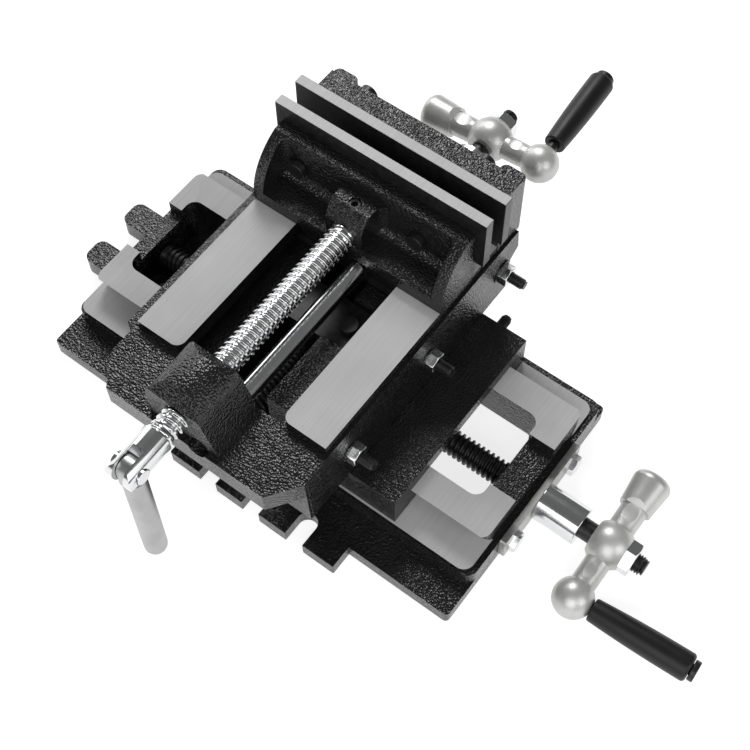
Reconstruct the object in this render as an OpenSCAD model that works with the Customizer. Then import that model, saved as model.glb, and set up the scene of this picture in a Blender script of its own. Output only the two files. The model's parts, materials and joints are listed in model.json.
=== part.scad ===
// Cross slide vise with two crank-driven slides and a screw-driven jaw.
// Millimetres. X runs along the lower slide, Y along the jaw screw, Z is up.
// The origin lies on the underside of the base, midway along the lower slide.

/* [Base] */
// Length of the base casting along X
base_len = 258; // [220:1:300]
// Front edge of the foot plate, measured from the slide centre
base_front = 77; // [70:0.5:90]
// Back edge of the foot plate, measured from the slide centre
base_back = 65; // [62:0.5:80]
// Thickness of the foot plate
foot_t = 9; // [7:0.5:12]
// Corner radius of the foot plate
foot_r = 2.5; // [2:0.5:10]
// Reach of the foot plate beyond the plain end
foot_out = 1.5; // [0:0.5:4]
// Corner radius of the raised body
body_r = 6; // [3:0.5:10]
// Front face of the raised body, measured from the slide centre
body_front = 58.5; // [57:0.5:66]
// Back face of the raised body, measured from the slide centre
body_back = 60.3; // [57:0.1:64]
// Height of the ground flats beside the dovetail
flat_h = 20.8; // [18:0.2:26]
// Back edge of the ground flats, measured from the slide centre
flat_edge = 56.5; // [54:0.5:57]
// Front edge of the ground flats, measured from the slide centre
flat_front = 57.5; // [56:0.5:58]
// Length of the rough rim at the plain end of the flats
rim_left = 1; // [0.5:0.5:4]
// Depth of the rough rim around the ground flats
rim_drop = 1.8; // [0.5:0.1:3]
// Length of the rough rim beyond each end of the flats
rim_len = 3; // [1:0.5:6]
// Width of the lower dovetail across its top
dove_w = 86; // [80:0.5:92]
// Height of the lower dovetail above the flats
dove_h = 14; // [10:0.5:16]
// Angle of every dovetail flank
dove_angle = 60; // [55:1:65]
// Corner radius of the ends of the lower dovetail
dove_r = 6; // [2:0.5:10]
// Wall left between the window and the crank end
end_wall_right = 18; // [14:0.5:24]
// Wall left between the window and the plain end
end_wall_left = 12; // [10:0.5:20]
// Width of the window between the two prongs
window_w = 54; // [46:1:58]
// Corner radius of the window
window_r = 6; // [3:0.5:12]
// Length of the thin floor at the plain end of the window
web_len = 30; // [20:1:40]
// Width of the low bar that joins the prongs at each end
bar_w = 34; // [28:1:40]
// Drop of the end bar below the dovetail top
bar_drop = 6.8; // [3:0.2:10]
// Height of the hollow under the prongs
hollow_h = 12; // [6:0.5:14]
// Wall left around the hollow
hollow_wall = 7; // [5:0.5:10]

/* [Mounting feet] */
// Depth of the slotted flange in front of the foot plate
flange_depth = 13; // [10:0.5:20]
// Depth of the slotted flange behind the foot plate
rear_depth = 15; // [10:0.5:20]
// Length of each slotted flange along X
flange_len = 106; // [96:1:120]
// Offset of the front flange centre along X
flange_mid = 15.8; // [0:0.2:20]
// Width of a mounting slot
slot_w = 11; // [9:0.5:13]
// Distance between neighbouring mounting slots
slot_pitch = 28.2; // [24:0.2:32]
// Depth of a mounting slot from the flange edge
slot_reach = 16.5; // [14:0.5:18]
// Length of the two lugs on the plain end
lug_len = 25; // [16:1:28]
// Width of each end lug
lug_w = 15.5; // [12:0.5:18]
// Clear width between the end lugs
lug_gap = 16; // [12:0.5:20]
// Height of the end lugs
lug_h = 11; // [9.5:0.5:14]
// Offset of the lug pair along Y
lug_mid = -5; // [-10:0.5:0]
// Rounding of the outer corners of a lug
lug_r = 5; // [1:0.5:6]

/* [Saddle] */
// Length of the saddle along X
saddle_len = 171; // [160:1:185]
// Width of the saddle along Y
saddle_w = 113; // [110:0.5:118]
// Thickness of the saddle plate over the lower dovetail
saddle_plate = 7.9; // [7:0.1:11]
// Where the saddle stands along X in the drawn pose
saddle_pos = -3.5; // [-20:0.5:20]
// Height of the pedestal under the upper dovetail
pedestal_h = 7; // [5:0.5:10]
// Width of the upper dovetail at its foot
updove_w = 76; // [70:0.5:78]
// Height of the upper dovetail
updove_h = 16; // [12:0.5:18]
// Width of the groove for the upper feed screw
groove_w = 22; // [18:0.5:26]
// Floor left under the groove
groove_floor = 1.6; // [1.2:0.1:3]

/* [Vise body] */
// Offset of the jaw centre plane from the saddle centre
vise_shift = -2.4; // [-6:0.2:6]
// Half the width across the outer edges of the ways
way_out = 57.2; // [54:0.1:58.5]
// Half the width of the channel between the ways
way_in = 31.2; // [28:0.1:34]
// Thickness of the way beams
way_beam = 19; // [16:0.5:24]
// Front end of the ways along Y
way_front = -68.4; // [-75:0.2:-64]
// Drop of the rough shelf and ledges below the ways
ledge_drop = 5.3; // [3:0.1:8]
// Corner radius of the front ends of the ways
way_r = 5; // [2:0.5:8]
// Half the width of the skirts at the ledge
skirt_top = 59; // [58.8:0.1:62]
// Half the width of the skirts at their foot
skirt_foot = 61; // [59:0.1:64]
// Gap between the skirts and the saddle plate
skirt_gap = 1; // [0.6:0.1:3]
// Back end of the skirts along Y
skirt_back = 80; // [76:0.5:84]
// Slope cut off the lower back corner of the skirts
skirt_cut = 18; // [4:0.5:22]
// Slant of that slope
skirt_slant = 30; // [20:1:45]
// Front face of the front shelf along Y
shelf_front = -103; // [-108:0.5:-98]
// Chamfer of the shelf corners along X
shelf_cham_x = 11.5; // [4:0.5:16]
// Chamfer of the shelf corners along Y
shelf_cham_y = 16; // [4:0.5:20]
// Radius of the screw boss on the front shelf
boss_r = 17.5; // [15:0.5:20]
// Front face of the screw boss along Y
boss_front = -100; // [-103:0.5:-94]
// Back face of the screw boss along Y
boss_back = -70; // [-76:0.5:-69]
// Foot of the boss on the guide rod side
boss_foot = 21; // [17:0.5:26]
// Offset of the boss centre to the left of the screw axis
boss_side = 1.5; // [0:0.5:3]
// Drop of the boss centre below the screw axis
boss_low = 0.7; // [0:0.1:2]
// Angle over the level where the boss passes into its slope
boss_turn = 15; // [5:1:30]
// Length of the slope on the front of the boss
boss_slope = 8; // [3:0.5:12]
// Size of the chamfer on the back of the boss
boss_tail = 5; // [2:0.5:8]
// Depth of the jaw screw axis off the centre plane
screw_off = -3; // [-6:0.5:0]
// Height of the jaw screw axis over the ways
screw_up = 11.9; // [10:0.1:16]
// Thickness of the wall that carries the upper feed screw
rear_t = 16; // [14:0.5:20]
// Margin of that wall beside its end plate
rear_margin = 2; // [1:0.5:4]
// Offset of the guide rod from the centre plane
rod_off = 8; // [7:0.5:11]
// Drop of the guide rod axis below the ways
rod_down = 4.3; // [2:0.1:6]
// Depth of the guide rod's front end inside the boss
rod_sunk = 5; // [2:0.5:8]

/* [Jaws] */
// Width of the jaw plates
jaw_w = 125; // [120:1:130]
// Height of the jaw plates
jaw_plate_h = 33; // [28:0.5:36]
// Thickness of the jaw plates
jaw_plate_t = 5.6; // [4:0.1:8]
// Height of the jaw plates above the castings
jaw_proud = 9.7; // [2:0.1:12]
// Height of the jaw castings over the ways
jaw_h = 35.7; // [32:0.1:42]
// Face of the fixed jaw casting along Y
fixed_face = 69.6; // [66:0.2:72]
// Clear opening between the jaw plates in the drawn pose
jaw_open = 10; // [2:0.5:40]
// Half the width of the jaw castings
jaw_half = 57.5; // [54:0.5:59]
// Depth of the fixed jaw casting along Y
fixed_t = 17.4; // [14:0.2:22]
// Depth of the ribs behind the fixed jaw
fixed_rib = 5; // [1:0.5:6]
// Width of the ribs behind the fixed jaw
fixed_rib_w = 14; // [8:0.5:16]
// Rounding of the upright corners of those ribs
fixed_rib_r = 3.5; // [1:0.5:4]
// Drop of those ribs below the top of the jaw
fixed_rib_low = 2; // [0.5:0.5:6]
// Depth of the moving jaw casting along Y
moving_t = 27.3; // [24:0.1:34]
// Thickness of the upright wall of the moving jaw
moving_wall = 8; // [6:0.5:12]
// Thickness of the foot of the moving jaw
moving_foot = 8; // [6:0.5:10]
// Width of the end ribs of the moving jaw
moving_rib = 6; // [4:0.5:9]
// Radius of the rounded front of the moving jaw
rib_round = 34; // [30:0.5:40]
// Height of the straight front edge of the moving jaw
rib_rise = 4.4; // [2:0.2:7]
// Radius of the upright corners in the pockets of the moving jaw
pocket_r = 5; // [2:0.5:6]
// Radius of the fillet along the floor of the pockets
floor_r = 6; // [3:0.5:8]
// Width of the centre block of the moving jaw
block_w = 22; // [20:0.5:28]
// Depth of the centre block below the jaw casting top
block_drop = 8; // [5:0.5:10]
// Set back of the centre block from the front edge
block_back = 3; // [1:0.5:6]
// Distance of the left jaw plate screw from the jaw's end
plate_left_in = 14.5; // [14.5:0.5:24]
// Distance of the right jaw plate screw from the jaw's end
plate_right_in = 27.5; // [14.5:0.5:32]
// Height of the jaw plate screws over the ways
plate_hole_up = 17.5; // [15:0.5:22]
// Length of the screw heads behind the fixed jaw
tail_len = 12; // [4:0.5:15]
// Thickness of the keeper strip under the ways
keeper_t = 6; // [4:0.5:7]
// Width of the keeper strip
keeper_w = 78; // [70:1:80]
// Distance of the keeper screws from the centre plane
keeper_hole = 20.6; // [18:0.2:22]
// Depth of the sunk heads of the keeper screws
keeper_sink = 3; // [2:0.5:4]
// Set back of the tongue and the keeper from the ends of the moving jaw
tongue_in = 3; // [2:0.5:5]
// Wall of the tongue behind the guide rod
rod_wall = 4; // [3:0.5:6]

/* [Screws and cranks] */
// Diameter of the lower feed screw
x_screw_d = 14; // [12:0.5:16]
// Diameter of the upper feed screw
y_screw_d = 12; // [11.5:0.5:13]
// Height of the lower feed screw axis
x_axis_z = 12.5; // [11.5:0.1:14]
// Diameter of the feed screw shanks
shank_d = 11; // [9:0.5:11]
// Length of a feed screw beyond its crank nut
seat_out = 4.5; // [2:0.5:6]
// Diameter of the crank seats
seat_d = 10; // [8:0.5:10.5]
// Diameter of the plain journal of the lower feed screw
journal_d = 10; // [8:0.5:12]
// Front end of the upper feed screw along Y
y_screw_end = -60; // [-66:0.5:-40]
// Outside diameter of the bearing sleeves
sleeve_d = 20.5; // [19:0.5:24]
// Length of the lower bearing sleeve
x_sleeve_len = 24; // [18:0.5:30]
// Length of the upper bearing sleeve
y_sleeve_len = 28.5; // [18:0.5:34]
// Length of the thrust collar inside a sleeve
collar_len = 14; // [8:0.5:15]
// Wall of a sleeve around its collar
sleeve_wall = 2.2; // [1.5:0.1:3]
// Thickness of the end plates
end_plate_t = 3.5; // [2.5:0.1:5]
// Width of the end plates
end_plate_w = 68; // [60:1:74]
// Height of the end plates
end_plate_h = 16; // [14:0.5:17]
// Corner radius of the end plates
end_plate_r = 2; // [1:0.5:5]
// Distance of an end plate screw from the feed screw axis
end_hole = 26; // [20:0.5:29]
// Gap between a bearing sleeve and the crank hub
hub_gap = 7; // [2:0.5:12]
// Diameter of the crank hub ball
hub_d = 25; // [22:0.5:28]
// Width of the crank hub across its faces
hub_w = 18; // [14:0.5:20]
// Distance from the crank axis to the grip
crank_r = 32.5; // [28:0.5:40]
// Diameter of the crank arm at the hub
arm_d = 13.5; // [9:0.5:14]
// Diameter of the crank arm at the grip ball
arm_ball_d = 13; // [8:0.5:13]
// Diameter of the crank arm at the counterweight
arm_weight_d = 14.5; // [10:0.5:15]
// Diameter of the ball that carries the grip
ball_d = 21.5; // [18:0.5:24]
// Depth of the flat on that ball under the grip
ball_flat = 0.6; // [0.4:0.1:1.5]
// Diameter of the counterweight
weight_d = 20.5; // [16:0.5:22]
// Diameter of the counterweight where the arm meets it
weight_neck_d = 17.5; // [15:0.5:18]
// Half length of the counterweight
weight_half = 10; // [6:0.5:11]
// Rounding of the outer rim of the counterweight
weight_round = 4.5; // [2:0.5:7]
// Radius of the hollows in the sides of the crank arm
hollow_r = 12; // [6:0.5:14]
// Depth of the hollows in the sides of the crank arm
hollow_deep = 0.9; // [0.5:0.1:2]
// Slant of the lower crank in the drawn pose
x_crank_turn = 7.5; // [-180:0.5:180]
// Slant of the upper crank in the drawn pose
y_crank_turn = -6; // [-180:1:180]
// Lean of the grips towards the crank axis
grip_lean = 3; // [0:0.5:8]
// Length of a grip
grip_len = 54; // [45:1:70]
// Diameter of a grip at the crank
grip_d1 = 12.2; // [9:0.1:13]
// Largest diameter of a grip
grip_d2 = 15; // [14:0.5:20]
// Distance from the crank to the largest diameter of a grip
grip_full = 46; // [36:1:60]
// Rounding of the free end of a grip
grip_round = 2; // [1:0.2:3]
// Play of the upper grip, which has slid out along its stud
y_grip_slip = 5; // [0:0.5:8]
// Diameter of the stud inside a grip
stud_d = 6; // [4:0.5:7]
// Diameter of the stud head at the end of a grip
stud_head_d = 11; // [8:0.5:12]
// Thickness of the stud head at the end of a grip
stud_head_h = 3; // [1:0.5:4]
// Width across the flats of the crank nuts
crank_nut_af = 16; // [13:1:18]
// Thickness of the crank nuts
crank_nut_t = 6; // [4:0.5:8]

/* [Jaw screw and handle] */
// Diameter of the jaw screw
jaw_screw_d = 14; // [12:0.5:16]
// Diameter of the smooth end held in the moving jaw
jaw_neck_d = 12; // [10:0.5:12]
// Length of the smooth end held in the moving jaw
jaw_neck_len = 19; // [15:0.5:22]
// Diameter of the retaining groove
groove_d = 9; // [7:0.5:9.5]
// Width of the retaining groove
neck_groove_w = 7; // [6:0.5:8]
// Diameter of the guide rod
rod_d = 10; // [8:0.5:12]
// Diameter of the fork on the jaw screw
fork_d = 16; // [14:0.5:18]
// Length of the fork from its root to the pin
fork_len = 19; // [17:0.5:24]
// Position of the handle pin along Y
pin_y = -132; // [-138:0.5:-130]
// Width of the slot in the fork
fork_slot = 6.6; // [5:0.2:8]
// Reach of the fork's round end beyond its own radius
cheek_out = 0.4; // [0.2:0.1:1]
// Room in the fork behind the handle's eye
fork_room = 2; // [1:0.5:4]
// Diameter of the handle pin
pin_d = 5; // [4:0.5:6]
// Diameter of the heads of the handle pin
pin_head_d = 8; // [6.5:0.5:9]
// Depth of the flats under the heads of the handle pin
pin_seat = 1.5; // [1.2:0.1:2]
// Height of the heads of the handle pin
pin_head_h = 2; // [1.5:0.1:3]
// Diameter of the handle bar
handle_d = 12; // [10:0.5:13]
// Length of the handle from the pin to its tip
handle_len = 84; // [70:1:84]
// Slant of the handle away from the hanging pose
handle_slant = 2; // [0:0.5:10]
// Roll of the jaw screw in the drawn pose
screw_roll = 2; // [0:0.5:10]

/* [Fasteners and fits] */
// Sliding gap between parts that move on each other
slide_gap = 0.3; // [0.2:0.05:0.5]
// Running gap on the radius of a turning shaft
run_gap = 0.08; // [0.03:0.01:0.1]
// Thickness of the gib strips measured level
gib_t = 4.8; // [4:0.1:5.2]
// Diameter of the gib screws
gib_screw_d = 6; // [5:0.5:8]
// Length of a gib screw beyond the casting
gib_screw_out = 13; // [8:0.5:16]
// Width across the flats of the gib lock nuts
lock_af = 10; // [9:0.5:11]
// Thickness of the gib lock nuts
lock_t = 5; // [3:0.5:6]
// Share of the flats' width that stays flat on top of a nut
nut_face = 0.96; // [0.9:0.01:1]
// Angle of the cone that takes the corners off a nut
nut_chamfer = 30; // [20:1:45]
// Distance between the saddle gib screws
x_gib_pitch = 66; // [50:1:76]
// Distance between the vise body gib screws
y_gib_pitch = 63; // [50:0.5:66]
// Middle gib screw of the vise body along Y
y_gib_mid = 10; // [0:0.5:14]
// Height of those screws over the foot of the upper dovetail
y_gib_up = 11; // [6:0.5:12]
// Height of the cast pads under their lock nuts
pad_out = 0.4; // [0.2:0.1:2]
// Diameter of the fixing screws
fix_d = 6; // [4:0.5:6]
// Diameter of the fixing screw heads
fix_head_d = 10; // [8:0.5:10]
// Height of the fixing screw heads
fix_head_h = 4; // [3:0.5:4]
// Length of the fixing screws in the castings
fix_len = 14; // [10:0.5:15]
// Depth of the socket in the set screw
socket_deep = 4; // [3:0.5:4.5]

/* [Feed nuts] */
// Half length of the lower feed nut body
x_nut_half = 14; // [10:0.5:18]
// Half length of the lower feed nut flange
x_nut_flange = 32; // [28:0.5:36]
// Width of the lower feed nut
x_nut_w = 26; // [22:0.5:30]
// Wall of the lower feed nut under its screw
x_nut_wall = 2; // [1.5:0.5:4]
// Thickness of the feed nut flanges
nut_flange_t = 6; // [4:0.5:7]
// Half length of the upper feed nut
y_nut_half = 13; // [9:0.5:15]
// Half width of the upper feed nut flange
y_nut_flange = 25; // [22:0.5:27]

/* [Quality] */
// Segments of a full circle
arc_steps = 64; // [32:4:128]

/* [Hidden] */
$fn = arc_steps;
grip_rings = 6;
cut = 1;
bite = 0.5;
hair = 0.1;
hexagon = 6;
flank = 1 / tan(dove_angle);
dove_top = flat_h + dove_h;
dove_foot = dove_w / 2 - dove_h * flank;
dove_len = base_len - 2 * rim_len;
bar_z = dove_top - bar_drop;
window_right = base_len / 2 - end_wall_right;
window_left = base_len / 2 - end_wall_left;
web_t = x_axis_z - x_screw_d / 2 - cut;
saddle_under = dove_top + slide_gap;
saddle_top = saddle_under + saddle_plate;
saddle_left = saddle_pos - saddle_len / 2;
saddle_right = saddle_pos + saddle_len / 2;
saddle_edge = saddle_w / 2;
updove_z = saddle_top + pedestal_h;
updove_top = updove_z + updove_h;
updove_half = updove_w / 2;
gib_slip = gib_t + slide_gap;
y_axis_z = saddle_under + groove_floor + y_screw_d / 2 + cut;
vise_x = saddle_pos + vise_shift;
beam_z = updove_top + slide_gap;
way_z = beam_z + way_beam;
ledge_z = way_z - ledge_drop;
skirt_z = saddle_top + skirt_gap;
skirt_low = updove_z - 0.4 * skirt_cut;
screw_x = vise_x + screw_off;
screw_z = way_z + screw_up;
boss_x = screw_x - boss_side;
boss_z = screw_z - boss_low;
boss_top = boss_z + boss_r;
rod_x = vise_x + rod_off;
rod_z = way_z - rod_down;
jaw_z = way_z + slide_gap;
jaw_top = way_z + jaw_h;
plate_top = jaw_top + jaw_proud;
plate_z = plate_top - jaw_plate_h;
fixed_grip = fixed_face - jaw_plate_t;
moving_grip = fixed_grip - jaw_open;
moving_face = moving_grip - jaw_plate_t;
moving_front = moving_face - moving_t;
wall_front = moving_face - moving_wall;
hole_z = way_z + plate_hole_up;
plate_holes = [plate_left_in - jaw_half, jaw_half - plate_right_in];
ledge_in = keeper_t + 2 * slide_gap + cut;
keeper_z = beam_z + cut;
keeper_top = keeper_z + keeper_t;
keeper_deep = fix_len - socket_deep;
tongue_half = way_in - slide_gap * 2;
tongue_front = moving_front + tongue_in;
tongue_back = moving_face - tongue_in;
keeper_y = (tongue_front + tongue_back) / 2;
rod_end = tongue_back - rod_wall;
fixed_back = fixed_face + fixed_t;
rear_wall = fixed_back;
rear_out = rear_wall + rear_t;
rear_half = end_plate_w / 2 + rear_margin;
neck_y = moving_front + block_back;
neck_end = neck_y + jaw_neck_len;
set_y = neck_y + jaw_neck_len / 2;
fork_root = pin_y + fork_len;
seat_x = fork_d / 2 - pin_seat;
cheek_r = fork_d / 2 + cheek_out;
tongue_r = handle_d / 2;
shoulder = cheek_r + 2 * slide_gap;
x_plate_out = base_len / 2 + end_plate_t;
x_sleeve_end = x_plate_out + x_sleeve_len;
x_hub = x_sleeve_end + hub_gap + hub_w / 2;
y_plate_out = rear_out + end_plate_t;
y_sleeve_end = y_plate_out + y_sleeve_len;
y_hub = y_sleeve_end + hub_gap + hub_w / 2;
collar_d = sleeve_d - 2 * sleeve_wall;
cavity_len = collar_len + 2 * slide_gap;
stud_start = ball_d / 4;
hollow_at = (hub_d / 2 + crank_r - weight_half) / 2;
seam_turn = 225;
grip_start = ball_d / 2 - ball_flat;
stud_end = grip_start + grip_len + 2 * slide_gap;
x_gib_z = saddle_under - dove_h / 2;
x_gib_y = dove_foot + (x_gib_z - flat_h) * flank;
y_gib_z = updove_z + y_gib_up;
y_gib_x = updove_half + (y_gib_z - updove_z) * flank;
skirt_at_gib = skirt_top + (skirt_foot - skirt_top) * (ledge_z - y_gib_z) / (ledge_z - skirt_z);
pad_x = skirt_at_gib + pad_out;
pad_d = 1.4 * lock_af;
fit_d = 2 * run_gap;
x_nut_screw = (x_nut_half + x_nut_flange) / 2 + cut;
y_nut_screw = (groove_w / 2 + y_nut_flange) / 2;
flange_front = base_front + flange_depth;
flange_rear = base_back + rear_depth;

enamel = [0.11, 0.11, 0.12];
ground = [0.70, 0.70, 0.71];
chrome = [0.84, 0.85, 0.87];
satin = [0.66, 0.66, 0.66];
zinc = [0.74, 0.74, 0.72];
oxide = [0.07, 0.07, 0.07];
plastic = [0.05, 0.05, 0.05];

// Straight solid of a (y, z) outline between two X positions
module along_x(x0, x1) {
  translate([x0, 0, 0])
    rotate([90, 0, 90])
      linear_extrude(x1 - x0)
        children();
}

// Straight solid of an (x, z) outline between two Y positions
module along_y(y0, y1) {
  translate([0, y1, 0])
    rotate([90, 0, 0])
      linear_extrude(y1 - y0)
        children();
}

// Straight solid of an (x, y) outline between two heights
module along_z(z0, z1) {
  translate([0, 0, z0])
    linear_extrude(z1 - z0)
      children();
}

// Box between two corners
module box(x0, x1, y0, y1, z0, z1) {
  translate([x0, y0, z0])
    cube([x1 - x0, y1 - y0, z1 - z0]);
}

// Outline of a rectangle with rounded corners
module soft_rect(x0, x1, y0, y1, r) {
  translate([x0 + r, y0])
    square([x1 - x0 - 2 * r, y1 - y0]);
  translate([x0, y0 + r])
    square([x1 - x0, y1 - y0 - 2 * r]);
  for (x = [x0 + r, x1 - r], y = [y0 + r, y1 - r])
    translate([x, y])
      circle(r);
}

// Round bar along X through (y, z)
module bar_x(d, x0, x1, y, z) {
  translate([x0, y, z])
    rotate([0, 90, 0])
      cylinder(d = d, h = x1 - x0);
}

// Round bar along Y through (x, z)
module bar_y(d, y0, y1, x, z) {
  translate([x, y0, z])
    rotate([-90, 0, 0])
      cylinder(d = d, h = y1 - y0);
}

// Round bar along Z through (x, y)
module bar_z_at(d, z0, z1, x, y) {
  translate([x, y, z0])
    cylinder(d = d, h = z1 - z0);
}

// Hexagonal prism along its own axis
module hex(af, h) {
  cylinder(d = af / cos(180 / hexagon), h = h, $fn = hexagon);
}

// Hexagon nut or head with its outer corners turned to a cone
module hex_head(af, h) {
  face_r = af / 2 * nut_face;
  intersection() {
    hex(af, h);
    cylinder(r1 = face_r + h / tan(nut_chamfer), r2 = face_r, h = h);
  }
}

// Outline of a dovetail tongue: half widths at the foot, foot height, top height
module dove_outline(left, right, z0, z1) {
  rise = (z1 - z0) * flank;
  polygon([[-left, z0], [right, z0], [right + rise, z1], [-left - rise, z1]]);
}

// Outline of a gib strip beside a dovetail flank
module gib_outline(half, z0, z1) {
  rise = (z1 - z0) * flank;
  near = half + slide_gap;
  polygon([[near, z0], [near + gib_t, z0], [near + gib_t + rise, z1], [near + rise, z1]]);
}

// Outline of an open mounting slot that ends in a half circle, mouth towards -Y
module slot_outline(depth) {
  translate([-slot_w / 2, -cut])
    square([slot_w, depth - slot_w / 2 + cut]);
  translate([0, depth - slot_w / 2])
    circle(d = slot_w);
}

// Slotted mounting flange with its outer edge on the X axis
module flange_outline(depth) {
  difference() {
    soft_rect(-flange_len / 2, flange_len / 2, 0, depth + foot_r, foot_r / 3);
    for (i = [-1, 0, 1])
      translate([i * slot_pitch, 0])
        slot_outline(slot_reach);
  }
}

// Lug on the plain end of the base, with rounded outer corners
module lug_outline(y) {
  soft_rect(-base_len / 2 - lug_len, -base_len / 2 + lug_r * 2, y, y + lug_w, lug_r);
}

module base_casting() {
  color(enamel)
    difference() {
      union() {
        difference() {
          along_z(0, foot_t)
            soft_rect(-base_len / 2 - foot_out, base_len / 2, -base_front, base_back, foot_r);
          for (i = [-1, 0, 1])
            translate([flange_mid + i * slot_pitch, -flange_front, -cut])
              linear_extrude(foot_t + 2 * cut)
                slot_outline(slot_reach);
          for (i = [-1, 0, 1])
            translate([-flange_mid + i * slot_pitch, flange_rear, -cut])
              rotate([0, 0, 180])
                linear_extrude(foot_t + 2 * cut)
                  slot_outline(slot_reach);
        }
        translate([flange_mid, -flange_front, 0])
          linear_extrude(foot_t)
            flange_outline(flange_depth);
        translate([-flange_mid, flange_rear, 0])
          rotate([0, 0, 180])
            linear_extrude(foot_t)
              flange_outline(rear_depth);
        along_z(0, lug_h) {
          lug_outline(lug_mid + lug_gap / 2);
          lug_outline(lug_mid - lug_gap / 2 - lug_w);
        }
        along_z(0, flat_h - rim_drop)
          soft_rect(-base_len / 2, base_len / 2, -body_front, body_back, body_r);
        along_z(0, flat_h)
          soft_rect(-base_len / 2 + rim_left, dove_len / 2, -flat_front, flat_edge, body_r);
        intersection() {
          along_x(-base_len / 2, base_len / 2)
            dove_outline(dove_foot, dove_foot, flat_h, dove_top);
          along_z(flat_h - cut, dove_top + cut)
            soft_rect(-dove_len / 2, dove_len / 2, -dove_w / 2 - cut, dove_w / 2 + cut, dove_r);
        }
        along_x(-dove_len / 2, dove_len / 2)
          translate([-dove_foot, flat_h - cut])
            square([2 * dove_foot, cut + bite]);
      }
      along_z(web_t, dove_top + cut)
        soft_rect(-window_left, window_right, -window_w / 2, window_w / 2, window_r);
      along_z(-cut, web_t + cut)
        soft_rect(-window_left + web_len, window_right, -window_w / 2, window_w / 2, window_r);
      box(window_right - window_r, base_len / 2, -bar_w / 2, bar_w / 2, bar_z, dove_top + cut);
      box(-base_len / 2, -window_left + window_r, -bar_w / 2, bar_w / 2, bar_z, dove_top + cut);
      for (side = [-1, 1])
        mirror([0, side > 0 ? 0 : 1, 0])
          along_z(-cut, hollow_h)
            soft_rect(-window_left + web_len, window_right, window_w / 2 - window_r,
                      flat_edge - hollow_wall, window_r / 2);
      bar_x(shank_d + fit_d, window_right - cut, base_len / 2 + cut, 0, x_axis_z);
      bar_x(journal_d + fit_d, -base_len / 2 - cut, -window_left + cut, 0, x_axis_z);
      for (side = [-1, 1])
        bar_x(fix_d, base_len / 2 - fix_len, base_len / 2 + cut, side * end_hole, x_axis_z);
    }
}

// Bearing plate drawn flat on its inner face, axis along X
module end_plate() {
  difference() {
    along_x(0, end_plate_t)
      soft_rect(-end_plate_w / 2, end_plate_w / 2, -end_plate_h / 2, end_plate_h / 2, end_plate_r);
    bar_x(shank_d + fit_d, -cut, end_plate_t + cut, 0, 0);
    for (side = [-1, 1])
      bar_x(fix_d, -cut, end_plate_t + cut, side * end_hole, 0);
  }
}

// Bearing sleeve with a cavity for the thrust collar, axis along X
module bearing_sleeve(len) {
  difference() {
    bar_x(sleeve_d, 0, len, 0, 0);
    bar_x(collar_d + 2 * fit_d, -cut, cavity_len, 0, 0);
    bar_x(shank_d + fit_d, -cut, len + cut, 0, 0);
  }
}

// Thrust collar on the screw shank, axis along X
module thrust_collar() {
  difference() {
    bar_x(collar_d, slide_gap, slide_gap + collar_len, 0, 0);
    bar_x(shank_d, 0, cavity_len + cut, 0, 0);
  }
}

// Pair of hexagon head screws that hold an end plate, axis along X
module end_plate_screws() {
  for (side = [-1, 1]) {
    bar_x(fix_d, -fix_len, end_plate_t, side * end_hole, 0);
    translate([end_plate_t, side * end_hole, 0])
      rotate([0, 90, 0])
        hex_head(lock_af, fix_head_h);
  }
}

// Moves a lower drive piece onto the crank end of the base
module at_x_drive(x) {
  translate([x, 0, x_axis_z])
    children();
}

// Moves an upper drive piece onto the back of the vise body
module at_y_drive(y) {
  translate([vise_x, y, y_axis_z])
    rotate([0, 0, 90])
      children();
}

module x_end_plate() {
  color(zinc)
    at_x_drive(base_len / 2)
      end_plate();
}

module x_sleeve() {
  color(chrome)
    at_x_drive(x_plate_out)
      bearing_sleeve(x_sleeve_len);
}

module x_plate_screws() {
  color(zinc)
    at_x_drive(base_len / 2)
      end_plate_screws();
}

module saddle_casting() {
  color(enamel)
    difference() {
      union() {
        box(saddle_left, saddle_right, -saddle_edge, saddle_edge, flat_h + slide_gap, saddle_top);
        box(vise_x - updove_half + slide_gap, vise_x + updove_half - slide_gap,
            -saddle_edge, saddle_edge, saddle_top - cut, updove_z + bite);
        along_y(-saddle_edge, saddle_edge)
          translate([vise_x, 0])
            dove_outline(updove_half, updove_half, updove_z, updove_top);
      }
      along_x(saddle_left - cut, saddle_right + cut)
        dove_outline(dove_foot + slide_gap - cut * flank, dove_foot + gib_slip + slide_gap - cut * flank,
                     flat_h - cut, saddle_under);
      along_x(saddle_left - cut, saddle_right + cut)
        translate([-dove_foot - slide_gap, flat_h - cut])
          square([2 * dove_foot + gib_slip + 2 * slide_gap, cut + slide_gap + hair]);
      box(vise_x - groove_w / 2, vise_x + groove_w / 2, -saddle_edge - cut, saddle_edge + cut,
          saddle_under + groove_floor, updove_top + cut);
      box(vise_x - y_nut_flange, vise_x + y_nut_flange, -y_nut_half, y_nut_half,
          updove_top - nut_flange_t - fix_head_h, updove_top + cut);
      for (side = [-1, 1]) {
        bar_z_at(fix_d, updove_top - nut_flange_t - fix_head_h - fix_len,
                 updove_top, vise_x + side * y_nut_screw, 0);
        bar_z_at(fix_d, saddle_under - cut, saddle_top - bite,
                 saddle_pos + side * x_nut_screw, 0);
      }
      for (i = [-1, 0, 1])
        bar_y(gib_screw_d, x_gib_y, saddle_edge + cut, saddle_pos + i * x_gib_pitch, x_gib_z);
    }
}

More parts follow.
